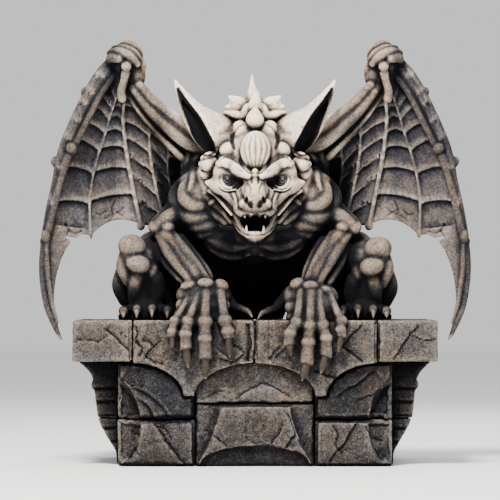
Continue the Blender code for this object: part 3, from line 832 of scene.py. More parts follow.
def web(name, outer, inner, rows):
    """The web between two bones: tiles one above another, each lapping over the one below."""
    outer_rows, inner_rows, scallop = rows
    u = np.linspace(0, 1, WEB_COLUMNS)[:, None]
    t = np.linspace(0, 1, WEB_LINES)[None, :]
    bow = 4 * u * (1 - u)
    reach = t * (1 - scallop * bow)
    near, far = reader(outer)(reach), reader(inner)(reach)
    place = near + (far - near) * u[..., None]
    place[..., 1] += WEB_SAG * np.sin(math.pi * u) * np.sin(math.pi * np.minimum(t * 1.2, 1) / 2)
    height, under = lap(u, reach, outer_rows, inner_rows, bow)
    place[..., 1] -= ROW_STEP * height
    sheet = slab(name, place * LEFTWARD, WEB_HALF * np.ones_like(height))
    return sheet, np.concatenate([under.ravel(), under.ravel() * 0.4])


def lap(u, t, outer_rows, inner_rows, bow):
    """How far forward each point stands, and how dark it is painted under the lip above, with a
    painted highlight on the lip.

    A tile swells down to its lip and steps back below it.
    """
    lines = [a + (b - a) * u - ROW_ARCH * bow for a, b in zip(outer_rows, inner_rows)]
    lines = [0 * u - 0.12, *lines, 0 * u + 1.08]
    height, under = 0 * t * u, 0 * t * u
    for low, high in zip(lines, lines[1:]):
        share = (t - low) / (high - low)
        inside = (share >= 0) & (share < 1)
        lip = np.exp(-((t - high) / LIP_SHARE) ** 2)
        rise = 0.12 + 0.68 * share**1.5 + 0.2 * lip
        tall = np.minimum(1, (high - low) / FULL_ROW)
        height = np.where(inside, rise * tall, height)
        below = np.exp(-((t - low) / (0.010 + 0.05 * (high - low))) ** 2)
        # Painted shadow just below the lip above, and a painted highlight on the lip
        under = np.where(inside, below * (low > -0.05) - 0.45 * lip, under)
    return height, under


def slab(name, place, half):
    """A closed sheet of this half thickness either side of a grid of points."""
    columns, lines = place.shape[:2]
    across = np.gradient(place, axis=0)
    down = np.gradient(place, axis=1)
    normal = np.cross(across, down)
    normal /= np.linalg.norm(normal, axis=-1, keepdims=True) + 1e-9
    front, back = place - normal * half[..., None], place + normal * half[..., None]
    verts = [at(*v) for v in np.vstack([front.reshape(-1, 3), back.reshape(-1, 3)])]
    count = columns * lines
    faces = []
    for i in range(columns - 1):
        for j in range(lines - 1):
            a = i * lines + j
            faces.append((a, a + lines, a + lines + 1, a + 1))
            faces.append((a + count, a + count + 1, a + count + lines + 1, a + count + lines))
    rim = [*range(0, count, lines), *range(count - lines + 1, count),
           *range(count - lines - 1, 0, -lines), *range(lines - 2, 0, -1)]
    for a, b in zip(rim, rim[1:] + rim[:1]):
        faces.append((a, a + count, b + count, b))
    mesh = bpy.data.meshes.new(name)
    mesh.from_pydata(verts, [], faces)
    obj = bpy.data.objects.new(name, mesh)
    bpy.context.scene.collection.objects.link(obj)
    return obj


def leftward(points, out=0, up=0):
    """Points of the left wing, moved this far out and up."""
    return [(-(x + out), y, z + up) for x, y, z in points]


# The wing's arm, its sinews, and its bones down to the claw
WING_RODS = (
    (WING_ARM, [58, 46, 34, 28, 25, 26]),
    ([(150, 208, 552), (206, 168, 588), (268, 134, 630), (314, 108, 668), (352, 92, 712)],
     [24, 22, 18, 17, 15]),
    ([(170, 206, 522), (224, 164, 552), (276, 132, 594), (320, 110, 638), (364, 92, 694)],
     [22, 20, 17, 16, 13]),
    ([(140, 250, 416), (196, 214, 470), (244, 178, 516), (292, 150, 566), (340, 122, 618),
      (384, 110, 680)], [13, 12, 11, 9, 8, 7]),
    ([(168, 218, 534), (220, 178, 566), (276, 144, 608), (322, 120, 648), (366, 104, 704)],
     [30, 26, 24, 23, 22]),
    (OUTER_BONE, [14, 14, 14, 15, 15, 14, 13, 15]),
    (INNER_BONE, [14, 12, 11, 11, 12]),
    ([(432, 112, 770), (470, 102, 714), (514, 95, 642), (548, 88, 566), (562, 84, 526)],
     [19, 19, 16, 13, 12]),
    ([(424, 120, 772), (404, 126, 724), (388, 132, 690)], [20, 26, 14]),
    (LOWER_BONE, [13, 11, 11, 12]),
    (WING_CLAW, [15, 15, 12, 9, 5]),
    ([(630, 72, 236), (628, 74, 150), (616, 80, 60), (598, 92, -8)], [9, 8, 7, 4]),
)
# The knobs of its joints: centres, half sizes and tilts
WING_KNOBS = (
    ((556, 74, 519), (18, 19, 19), 0), ((632, 70, 254), (15, 18, 22), 0),
    ((514, 104, 690), (15, 15, 18), -30), ((604, 92, 478), (15, 15, 18), -30),
    ((640, 92, 236), (12, 12, 14.4), -30), ((350, 208, 288), (13, 13, 15), 0),
)


def wing_bones(clay):
    for points, radii in WING_RODS:
        clay.rod(leftward(points), radii)
    for centre, size, tilt in WING_KNOBS:
        clay.ball(*leftward([centre]), size, tilt)
    for points, half in zip(RIBS, RIB_HALF):
        before = [(x, y - WEB_HALF - 8, z) for x, y, z in points]
        behind = [(x, y + WEB_HALF + 2, z) for x, y, z in points]
        clay.rod(leftward(before), [half * 0.8, half, half])
        clay.rod(leftward(behind), [half])
    clay.rod(leftward([(500, 142, 262), (499, 142, 240)]), [6, 2])


# The heel of the wing's hand, its four curled fingers, and its thumb
FIST_RODS = (
    ([(398, 118, 748), (392, 122, 700), (372, 126, 676)], [34, 26, 18]),
    ([(396, 100, 830), (372, 82, 832), (350, 90, 818), (338, 106, 800)], [11, 13, 13, 9]),
    ([(418, 100, 820), (386, 70, 818), (356, 70, 802), (340, 90, 780)], [11, 14, 14, 10]),
    ([(430, 96, 806), (402, 62, 808), (370, 52, 794), (348, 70, 772)], [12, 15, 15, 11]),
    ([(432, 96, 784), (424, 64, 790), (402, 52, 786)], [12, 15, 14]),
    ([(346, 90, 792), (334, 96, 768), (340, 100, 740)], [13, 14, 12]),
    ([(382, 64, 744), (388, 68, 718), (396, 76, 690), (394, 80, 668)], [14, 12, 13, 14]),
)
FIST_BALLS = (((382, 112, 778), (44, 44, 54), 0), ((354, 114, 752), (30, 36, 52), -10),
              ((380, 54, 764), (16, 15, 17), 0))
# How much further out and up the hand is than these say
FIST_SHIFT = (9, 3)


def fist(clay):
    """The wing's hand: four fingers curled over one another, and the thumb hanging below."""
    for centre, size, tilt in FIST_BALLS:
        clay.ball(*leftward([centre], *FIST_SHIFT), size, tilt)
    for points, radii in FIST_RODS:
        clay.rod(leftward(points, *FIST_SHIFT), radii)


def claw_web():
    """The thin blade of web inside the long claw, its edge broken where it meets the wing."""
    claw = reader(((628, 84, 290), *WING_CLAW))
    edge = reader(((498, 144, 274), (556, 116, 240), (590, 106, 178), (608, 102, 100),
                   (608, 102, 30), (594, 104, -36)))
    u = np.linspace(0, 1, 14)[:, None]
    t = np.linspace(0, 1, 110)[None, :]
    ones = 1 + 0 * u * t
    near, far = claw(t * 0.93 * ones), edge(t * ones)
    place = near + (far - near) * u[..., None]
    return slab("claw_web", place * LEFTWARD, CLAW_WEB_HALF * (1 - 0.4 * u) * ones)


# Cracks in the webs' lower tiles
WEB_CRACKS = (
    ([(426, 369), (438, 340), (432, 318), (452, 294)], [3], [3]),
    ([(438, 340), (408, 322), (390, 304)], [3], [2.5]),
    ([(452, 336), (470, 322), (486, 326)], [3], [2.5]),
    ([(400, 348), (418, 330), (440, 322), (462, 306)], [3], [2.5]),
    ([(578, 294), (562, 272), (545, 262), (522, 272)], [3.5], [6, 7, 5]),
    ([(562, 272), (570, 254), (556, 232)], [3.5], [6, 5]),
    ([(532, 252), (540, 228), (560, 214)], [3], [2.5]),
    ([(606, 190), (592, 172), (600, 150)], [3], [2.5]),
    ([(340, 470), (318, 448), (306, 440)], [3], [3, 3]),
)


# The tear at the webs' lower edge: out, up, how far back it goes, and its radius
TEAR = ((570, 250, 160, 5), (556, 244, 160, 8), (538, 240, 160, 12), (516, 232, 180, 16))


def wing():
    """The left wing as the viewer sees it, and the places of its webs with their lips' shade."""
    clay = Clay("wing_bones")
    wing_bones(clay)
    fist(clay)
    bones = (OUTER_BONE, *RIBS)
    webs, shades = zip(*(web(f"web_{k}", outer, inner, rows)
                         for k, (outer, inner, rows) in enumerate(zip(bones, bones[1:], WEBS))))
    webs = [*webs, claw_web()]
    sheets = np.vstack([points_of(sheet) for sheet in webs])
    shades = np.concatenate([*shades, np.zeros(len(webs[-1].data.vertices))])
    obj = joined([clay.mesh(), *webs], "wing")
    remesh(obj, WING_CELL, 1)
    torn = Clay("torn")
    for out, up, far, radius in TEAR:
        torn.rod([(-out, 60, up), (-out, far, up)], [radius])
    boolean(obj, torn.skin(WING_CELL, 0), "DIFFERENCE")
    knife = Carver(obj)
    for points, half, depth in WEB_CRACKS:
        knife.line([(-x, z) for x, z in points], half, depth)
    knife.finish()
    return obj, np.column_stack([sheets, shades])


def mirrored(obj):
    """The same shape on the other side."""
    copy = obj.copy()
    copy.data = obj.data.copy()
    bpy.context.scene.collection.objects.link(copy)
    set_points(copy, points_of(copy) * (-1, 1, 1))
    select_only(copy)
    bpy.ops.object.mode_set(mode="EDIT")
    bpy.ops.mesh.select_all(action="SELECT")
    bpy.ops.mesh.flip_normals()
    bpy.ops.object.mode_set(mode="OBJECT")
    return copy


# The whole figure

def body():
    mass = Clay("body_mass")
    body_mass(mass)
    rough = mass.skin(ROUGH_CELL, 4)
    front = Front(rough)
    added = Clay("body_forms")
    cuffs = Clay("cuffs")
    claws = Clay("claws")
    body_back(added)
    shoulder_rolls(added, front)
    arms(added)
    hands(added, cuffs, claws)
    legs(added, claws)
    obj = joined([rough, added.mesh()], "body")
    remesh(obj, BODY_CELL, 3)
    cut = cuffs.skin(BODY_CELL, 0)
    hollows = points_of(cut)
    boolean(obj, cut, "DIFFERENCE")
    return obj, claws, hollows


def seat_box():
    """The room that the plinth takes."""
    bpy.ops.object.select_all(action="DESELECT")
    bpy.ops.mesh.primitive_cube_add(size=1)
    obj = bpy.context.object
    obj.scale = (2 * CAP_HALF, PLINTH_BACK - CAP_FRONT, CAP_TOP)
    obj.location = (0, (PLINTH_BACK + CAP_FRONT) / 2, CAP_TOP / 2)
    bpy.ops.object.transform_apply(location=True, rotation=True, scale=True)
    return obj


def thinned(obj, triangles):
    """The mesh with about this many triangles left, most of them where it bends."""
    ratio = triangles / sum(len(p.vertices) - 2 for p in obj.data.polygons)
    if ratio < 1:
        apply(obj, "DECIMATE", ratio=ratio)
    # The thinning can leave one face twice
    obj.data.validate()


def figure():
    """The gargoyle as one stone, with the horn of its claws and teeth marked."""
    stone, claws, hollows = body()
    skull, biting, dark = head()
    horn = claws.skin(CLAW_CELL, 1)
    bone = biting.skin(TOOTH_CELL, 0)
    # The dark and cuff places are painted with shade later: the head's openings and the cuffs round
    # the claws
    marks = {"horn": points_of(horn), "bone": points_of(bone), "dark": dark, "cuff": hollows}
    left, sheets = wing()
    marks["web"] = np.vstack([sheets, sheets * (-1, 1, 1, 1)])
    for added in (skull, horn, bone, mirrored(left), left):
        boolean(stone, added, "UNION")
    boolean(stone, seat_box(), "DIFFERENCE")
    thinned(stone, FIGURE_TRIANGLES)
    return stone, marks


# The plinth's blocks

# Cracks over the blocks' fronts: places (across, up from the cap's top), half widths, depths
CRACKS = (
    ([(-452, -24), (-434, -40), (-412, -58), (-396, -76), (-372, -100)], [3.5], [9, 11, 7]),
    ([(-552, -70), (-512, -58), (-470, -66), (-434, -40)], [3], [5, 7, 4]),
    ([(-360, -12), (-352, -40), (-366, -62), (-338, -84), (-346, -112)], [4, 6, 4], [6, 10, 6]),
    ([(-276, -56), (-298, -74), (-318, -92), (-330, -112), (-300, -128), (-268, -136)],
     [4], [6, 9, 6]),
    ([(-340, -60), (-322, -62), (-306, -78)], [5], [7, 8]),
    ([(-75, -72), (-52, -82), (-33, -100), (-66, -126), (-108, -116)], [4], [5, 8, 5]),
    ([(-120, -80), (-92, -102), (-64, -124)], [3], [4, 7, 4]),
    ([(75, -78), (56, -96), (40, -116)], [4], [5, 8]),
    ([(110, -60), (92, -84), (60, -112)], [3], [4, 6]),
    ([(324, -8), (292, -42), (258, -78), (300, -108), (330, -132)], [4], [6, 9, 6]),
    ([(176, -150), (206, -164), (238, -176), (264, -168), (290, -150)], [4], [6, 9, 5]),
    ([(492, -12), (474, -34), (462, -48), (436, -86), (410, -124)], [4], [7, 10, 6]),
    ([(548, -52), (510, -60), (470, -46)], [3], [5, 6]),
    ([(-62, -242), (-42, -226), (-8, -205), (24, -190), (58, -203), (90, -221), (114, -242)],
     [3.5], [4, 8, 9, 8, 7, 5]),
    ([(-170, -244), (-140, -228), (-104, -214), (-66, -224)], [3], [2, 4, 4, 2]),
    ([(84, -267), (104, -292), (122, -336), (104, -366), (90, -390), (48, -376), (76, -334),
      (84, -300)], [4], [6, 10, 8, 6]),
    ([(-156, -330), (-114, -354), (-84, -380), (-60, -384)], [3.5], [5, 8, 4]),
    ([(-30, -350), (0, -372), (24, -366)], [3], [3, 5, 3]),
    ([(360, -150), (334, -172), (310, -194), (270, -212), (244, -236)], [4], [7, 9, 5]),
    ([(396, -204), (352, -226), (306, -240)], [3.5], [5, 7, 4]),
    ([(-300, -312), (-280, -324), (-262, -336), (-250, -362)], [3.5], [5, 7, 4]),
    ([(-378, -330), (-352, -352), (-366, -386), (-340, -412)], [3.5], [5, 7, 4]),
    ([(232, -312), (250, -344), (240, -372), (262, -404)], [3.5], [5, 8, 4]),
    ([(330, -318), (352, -350), (390, -366)], [3.5], [5, 7, 4]),
    ([(-306, -305), (-282, -340), (-262, -371), (-235, -405), (-210, -437)], [4], [9, 12, 9]),
    ([(306, -305), (286, -338), (270, -371), (240, -400), (222, -437)], [4], [8, 10, 7]),
    ([(-404, -176), (-372, -196), (-330, -204)], [3.5], [5, 7, 4]),
)
# Shares of the above at which the cracks are cut, and the length, turn and seed of their steps
CRACK_WIDTH = 0.55
CRACK_DEPTH = 0.66
CRACK_STEP = 13
CRACK_TURN = 6
CRACK_SEED = 1795831819
# The wide worn groove at the middle joint, and the joints scored beside it
GROOVES = (
    ([(-14, -2), (-15, -60), (-13, -128)], [15, 13, 15], [18, 13, 18]),
    ([(-372, 0), (-372, -126)], [5], [10]),
    ([(366, 0), (366, -126)], [6], [11]),
)
# The great circle's edge on either side wall, outside which the face lies deeper
GREAT_CIRCLE = ((-411, -186), (-372, -230), (-352, -283), (-347, -327), (-354, -380), (-381, -434))
# Ridges turned on the left wall's block, and how high the brackets' courses are
RIDGES = (
    ((-380, -200), (-336, -217), (-300, -243), (-276, -267), (-261, -296)),
    ((-356, -236), (-321, -262), (-306, -298)),
)
COURSES = (-208, -248, -292, -330, -372)


def noise_field(places, scale, octaves=3, seed=0):
    """Soft noise from about -1 to 1 at places in metres, for features this many metres across."""
    shift = Vector((seed * 7.3, seed * 3.1, seed * 5.7))
    return np.array([noise.fractal(Vector(p) / scale + shift, 0.9, 2.1, octaves) for p in places],
                    np.float32)


def averaged(edges, values, count, rounds):
    """Values evened out over the mesh's neighbours this many times."""
    links = np.bincount(edges.ravel(), minlength=count)[:, None]
    for _ in range(rounds):
        total = np.stack([np.bincount(edges[:, 0], values[edges[:, 1], k], count)
                          + np.bincount(edges[:, 1], values[edges[:, 0], k], count)
                          for k in range(values.shape[1])], axis=1)
        values = 0.5 * values + 0.5 * total / np.maximum(links, 1)
    return values


def worn_block(node, seed):
    """A block of the plinth with rough faces, worn and chipped arrises, and cracks."""
    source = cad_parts[node]
    obj = source.copy()
    obj.data = source.data.copy()
    obj.name = node + "_stone"
    bpy.context.scene.collection.objects.link(obj)
    obj.parent = None
    obj.hide_render = False
    obj.hide_viewport = False
    select_only(obj)
    bpy.ops.object.mode_set(mode="EDIT")
    bpy.ops.mesh.select_all(action="SELECT")
    bpy.ops.mesh.remove_doubles(threshold=0.00001)
    bpy.ops.object.mode_set(mode="OBJECT")
    remesh(obj, BLOCK_CELL, 0)
    wear(obj, seed)
    carve_block(obj)
    return obj


# Rounds of smoothing on an arris where it is chipped, and in metres how wide the chips are
WORN_ROUNDS = 22
CHIP_WIDTH = 0.055
# In millimetres: how far a block's faces swell over broad and small patches, and how far they
# sink in all
BROAD_SWELL = 1.6
SMALL_SWELL = 1.1
FACE_SINK = 1.2


def wear(obj, seed):
    """Rounds the arrises, more where they are chipped, and makes the faces uneven."""
    places = points_of(obj)
    edges = edges_of(obj)
    count = len(places)
    soft = averaged(edges, places.astype(float), count, 1)
    worn = averaged(edges, soft, count, WORN_ROUNDS)
    chips = noise_field(places, CHIP_WIDTH, 4, seed)
    share = np.clip((chips - 0.02) / 0.28, 0, 1)[:, None]
    places = soft * (1 - share) + worn * share
    set_points(obj, places)
    out = normals_of(obj)
    swell = (noise_field(places, 0.11, 2, seed + 5) * BROAD_SWELL
             + noise_field(places, 0.018, 3, seed + 9) * SMALL_SWELL)
    set_points(obj, places + out * ((swell - FACE_SINK) * MM)[:, None])


def carve_block(obj):
    """Cuts the cracks, the joints and the brackets' courses, and marks its cracks and the block's
    painted shade.
    """
    knife = Carver(obj)
    for points, half, depth in CRACKS:
        knife.line(jagged(points), [CRACK_WIDTH * h for h in half],
                   [CRACK_DEPTH * d for d in depth], "step", reach=70)
    for points, half, depth in GROOVES:
        knife.line(points, half, depth)
    if obj.name.startswith(("wall_block", "base_block")):
        knife.line(GREAT_CIRCLE, [5], [15], "ledge", BOTH, reach=90)
    if "wall_block_left" in obj.name:
        for ridge in RIDGES:
            knife.line(ridge, [5, 6, 5], [5, 6, 4], "fold")
    if "bracket" in obj.name:
        for up in COURSES:
            knife.line([(400, up + 3), (440, up), (500, up - 2)], [4.5], [9], sides=BOTH)
    knife.finish()
    put(obj, "crack", knife.cut)
    put(obj, "dim", np.full(len(obj.data.vertices), painted_block_shade(obj.name)))


def jagged(points):
    """A crack's line broken into short irregular steps, with sharp corners."""
    found = [np.array(points[0], float)]
    for a, b in zip(points, points[1:]):
        a, b = np.array(a, float), np.array(b, float)
        parts = max(2, round(float(np.linalg.norm(b - a)) / CRACK_STEP))
        for k in range(1, parts + 1):
            place = a + (b - a) * k / parts
            turn = noise.noise_vector(Vector((place[0] * 0.11, place[1] * 0.11, 3.7)))
            found.append(place + (k < parts) * CRACK_TURN * np.array([turn[0], turn[1]]))
    return found


# How much darker each block is painted, by a part of their names: painted shade on the blocks that
# stand back in shadow, and the tympanum lightened
BLOCK_PAINTED_SHADE = {"wall": 0.16, "bracket": 0.10, "tympanum": -0.13, "cap_end": -0.02, "base": 0.03}


def painted_block_shade(name):
    return next((shade for part, shade in BLOCK_PAINTED_SHADE.items() if part in name), 0.0)


def bounded(obj, node):
    """Keeps a block within the room that its plain form takes."""
    low, high = (np.array(corner, np.float32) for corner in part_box(node))
    set_points(obj, np.clip(points_of(obj), low, high))


BLOCKS = ("cap_end_block_left", "cap_arch_block_left", "cap_arch_block_right",
          "cap_end_block_right", "tympanum_block", "centre_base_block", "base_block_left",
          "base_block_right", "wall_block_left", "wall_block_right", "bracket_lower_left",
          "bracket_lower_right", "bracket_upper_left", "bracket_upper_right")


def plinth():
    noise.seed_set(CRACK_SEED)
    blocks = []
    for k, node in enumerate(BLOCKS):
        obj = worn_block(node, k)
        thinned(obj, BLOCK_TRIANGLES)
        bounded(obj, node)
        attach(obj, "root")
        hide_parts(node)
        blocks.append(obj)
    return blocks


# How sheltered each place is, for the painted shade in hollows and under overhangs and the painted
# highlight on ridges

# In millimetres: the grid's cell, and how far about a place the stone is looked for
ROOM_CELL = 4.5
FINE_REACH = 5.5
NEAR_REACH = 13
BROAD_REACH = 46
# In metres: how far off the skin the nearer and the broader look start, and how far up
NEAR_OFF = 0.011
BROAD_OFF = 0.034
BROAD_UP = 0.022


class Room:
    """The stone's share of the space, on a grid, blurred to look about near any place."""

    MARGIN = 0.08

    def __init__(self, objs, cell):
        self.cell = cell * MM
        self.low = np.array(cad_low) - self.MARGIN
        self.high = np.array(cad_high) + self.MARGIN
        counts = np.ceil((self.high - self.low) / self.cell).astype(int)
        self.filled = np.zeros(counts, np.float32)
        for obj in objs:
            self.fill(tree_of(obj), *obj_box(obj))
        self.filled[:, :, :int(self.MARGIN / self.cell)] = 1
        self.waves = np.fft.rfftn(np.minimum(self.filled, 1))

    def fill(self, tree, low, high):
        first = np.floor((low - self.low) / self.cell).astype(int)
        last = np.ceil((high - self.low) / self.cell).astype(int)
        ahead = Vector((0, 1, 0))
        for i in range(first[0], last[0]):
            for k in range(first[2], last[2]):
                x = self.low[0] + (i + 0.5) * self.cell
                z = self.low[2] + (k + 0.5) * self.cell
                start, entered = Vector((x, low[1] - 0.01, z)), None
                while True:
                    hit, normal, _, _ = tree.ray_cast(start, ahead)
                    if hit is None:
                        break
                    if normal.y < 0:
                        entered = hit.y if entered is None else entered
                    elif entered is not None:
                        self.fill_row(i, k, entered, hit.y)
                        entered = None
                    start = hit + ahead * 0.0002

    def fill_row(self, i, k, near, far):
        a, b = (near - self.low[1]) / self.cell, (far - self.low[1]) / self.cell
        j = np.arange(int(a), int(b) + 1)
        self.filled[i, j, k] += np.minimum(j + 1, b) - np.maximum(j, a)

    def blurred(self, reach):
        spread = (reach * MM / self.cell) ** 2 * 2 * math.pi**2
        waves = self.waves.copy()
        for axis, count in enumerate(self.filled.shape):
            line = np.fft.rfftfreq(count) if axis == 2 else np.fft.fftfreq(count)
            shape = [1, 1, 1]
            shape[axis] = -1
            waves *= np.exp(-spread * line**2).reshape(shape)
        return np.fft.irfftn(waves, self.filled.shape).astype(np.float32)

    def read(self, grid, places):
        spot = (places - self.low) / self.cell - 0.5
        spot = np.clip(spot, 0, np.array(grid.shape) - 1.001)
        base = spot.astype(int)
        part = spot - base
        found = np.zeros(len(places), np.float32)
        for corner in np.ndindex(2, 2, 2):
            weight = np.prod(np.where(corner, part, 1 - part), axis=1)
            i, j, k = (base + corner).T
            found += weight * grid[i, j, k]
        return found


def obj_box(obj):
    places = points_of(obj)
    return places.min(axis=0).astype(float), places.max(axis=0).astype(float)


def put(obj, name, values):
    layer = obj.data.attributes.new(name, "FLOAT", "POINT")
    layer.data.foreach_set("value", np.ascontiguousarray(values, np.float32))


def mark_shelter(objs):
    """Marks each point with how hollow its place is and how much stone stands round and over it."""
    room = Room(objs, ROOM_CELL)
    fine, near, broad = (room.blurred(reach) for reach in (FINE_REACH, NEAR_REACH, BROAD_REACH))
    for obj in objs:
        places = points_of(obj).astype(float)
        out = normals_of(obj).astype(float)
        # The broad look leans up and forward, towards the key light, so that painted shade falls
        # under overhangs
        up = np.array([0, -0.25, 1.0])
        put(obj, "curve", room.read(fine, places) * 2 - 1)
        put(obj, "nook", room.read(near, places + out * NEAR_OFF) / 0.5 - 0.3)
        put(obj, "shelter",
            room.read(broad, places + out * BROAD_OFF + up * BROAD_UP) / 0.5 - 0.2)


def nearest(places, marked, within):
    """How far each place is from the nearest marked one, in millimetres, and which that is."""
    tree = KDTree(len(marked))
    for k, place in enumerate(marked):
        tree.insert(place, k)
    tree.balance()
    gaps, which = np.full(len(places), np.inf, np.float32), np.zeros(len(places), int)
    reach = within * MM
    low, high = marked.min(axis=0) - reach, marked.max(axis=0) + reach
    close = np.all((places > low) & (places < high), axis=1)
    for k in np.nonzero(close)[0]:
        _, which[k], gap = tree.find(places[k])
        gaps[k] = gap / MM
    return gaps, which


def near_share(obj, marked, within):
    """1 where a point of the skin lies on one of these places, fading to 0 this far off."""
    gaps, _ = nearest(points_of(obj), marked, within)
    return np.clip((within - gaps) / (within * 0.4), 0, 1)


# How far out in metres the webs start, and in millimetres how far off a sheet is looked for, how
# far off its mark has gone, over what distance it fades, and how far off its lips' shade reaches
WEB_START = 0.17
SHEET_REACH = 14
SHEET_GONE = 13
SHEET_FADE = 8
LIP_REACH = 9


def mark_webs(stone, sheets):
    """Marks the webs, their ribs more faintly, and the shade under each tile's lip."""
    places = points_of(stone)
    outer = np.nonzero(np.abs(places[:, 0]) > WEB_START)[0]
    gaps, which = nearest(places[outer], sheets[:, :3], SHEET_REACH)
    web, under = np.zeros(len(places), np.float32), np.zeros(len(places), np.float32)
    web[outer] = np.clip((SHEET_GONE - gaps) / SHEET_FADE, 0, 1)
    under[outer] = np.where(gaps < LIP_REACH, sheets[which, 3], 0)
    put(stone, "web", web)
    put(stone, "under", under)
    return web


def mark_figure(stone, marks):
    """Marks the figure's webs, claws and teeth, the painted light and shade by region with the
    stone's own tone, and the painted shade in its openings, hollows and the parts that stand in
    shadow.
    """
    for name, within in (("horn", 3.5), ("bone", 3.0)):
        put(stone, name, near_share(stone, marks[name], within))
    web = mark_webs(stone, marks["web"])
    x, y, z = layout_of(stone).T
    x = np.abs(x)
    # Painted light and shade by region, partly the stone's own tone: the head and the tops of the
    # wing arms lighter where the key light falls, the hands, the ribs and the outer wing bones
    # darker, the lower webs lighter and their tips darker
    head = smooth_step(z, 300, 420) * falling(x, 120, 230) * falling(y, 60, 200)
    arm = ((1 - web) * smooth_step(z, 430, 520) * falling(x, 225, 290)
           * (1 - 0.6 * smooth_step(y, 170, 280)))
    ribs = band(x, 262, 310, 396, 440) * band(z, 270, 310, 580, 640)
    hand = falling(z, 225, 262) * falling(x, 290, 320) * falling(y, 90, 120)
    put(stone, "pale", np.maximum(head, arm) - 0.5 * (1 - web) * ribs - 0.3 * hand
        - (0.72 - 0.34 * web) * smooth_step(x, 396, 440)
        + web * (0.2 * falling(z, 250, 470) - 0.35 * falling(z, 100, 240)))
    # Painted shade: under the belly, in the armpits, at the eyes' inner corners and lids, on the
    # feet, shanks, thumbs and cheeks, in the openings of ears, nostrils and mouth, and in the cuffs
    # round the claws
    belly = falling(z, 140, 205) * falling(x, 190, 250) * band(y, 60, 120, 340, 420)
    corner = (np.exp(-((x - 42) / 22) ** 2 - ((z - 408) / 11) ** 2)
              * band(y, -80, -62, 20, 60))
    lid = (np.exp(-((z - 409 - 0.42 * (x - 42)) / 9) ** 2) * band(x, 24, 40, 92, 112)
           * band(y, -50, -30, 20, 60))
    foot = falling(z, 60, 130) * band(x, 225, 262, 430, 460) * band(y, 36, 60, 200, 320)
    shank = falling(z, 118, 178) * band(x, 215, 250, 340, 372) * band(y, 50, 80, 200, 320)
    thumb = falling(x, 76, 96) * falling(z, 90, 110) * smooth_step(y, 20, 34)
    cheek = band(x, 92, 104, 140, 160) * band(z, 312, 332, 376, 392) * band(y, 8, 26, 90, 120)
    armpit = band(x, 170, 200, 240, 310) * band(z, 270, 310, 440, 520) * smooth_step(y, 105, 140)
    shade = np.maximum.reduce([belly, 0.5 * armpit, 0.8 * corner, 0.45 * lid, 0.52 * foot,
                               0.6 * shank, 0.6 * thumb, 0.35 * cheek,
                               near_share(stone, marks["dark"], 4.0),
                               near_share(stone, marks["cuff"], 3.5)])
    put(stone, "gloom", shade)


def smooth_step(values, low, high):
    t = np.clip((values - low) / (high - low), 0, 1)
    return t * t * (3 - 2 * t)


def falling(values, low, high):
    """From 1 at low to 0 at high."""
    return smooth_step(-values, -high, -low)


def band(values, low, full, fading, gone):
    """1 from full to fading, and 0 below low and above gone."""
    return smooth_step(values, low, full) * falling(values, fading, gone)


# Materials

class Value:
    """A shader socket that takes part in sums."""

    def __init__(self, nodes, socket):
        self.nodes = nodes
        self.socket = socket

    def _math(self, operation, first, second):
        return self.nodes.add("ShaderNodeMath", {"operation": operation}, {0: first, 1: second})

    def __add__(self, other):
        return self._math("ADD", self, other)

    def __sub__(self, other):
        return self._math("SUBTRACT", self, other)

    def __rsub__(self, other):
        return self._math("SUBTRACT", other, self)

    def __mul__(self, other):
        return self._math("MULTIPLY", self, other)

    __radd__ = __add__
    __rmul__ = __mul__

    def at_most(self, other):
        return self._math("MINIMUM", self, other)

    def at_least(self, other):
        return self._math("MAXIMUM", self, other)

    def fade(self, low, high):
        """From 0 at low to 1 at high, with soft ends."""
        return self.nodes.add("ShaderNodeMapRange", {"interpolation_type": "SMOOTHSTEP"},
                              {"Value": self, "From Min": low, "From Max": high})


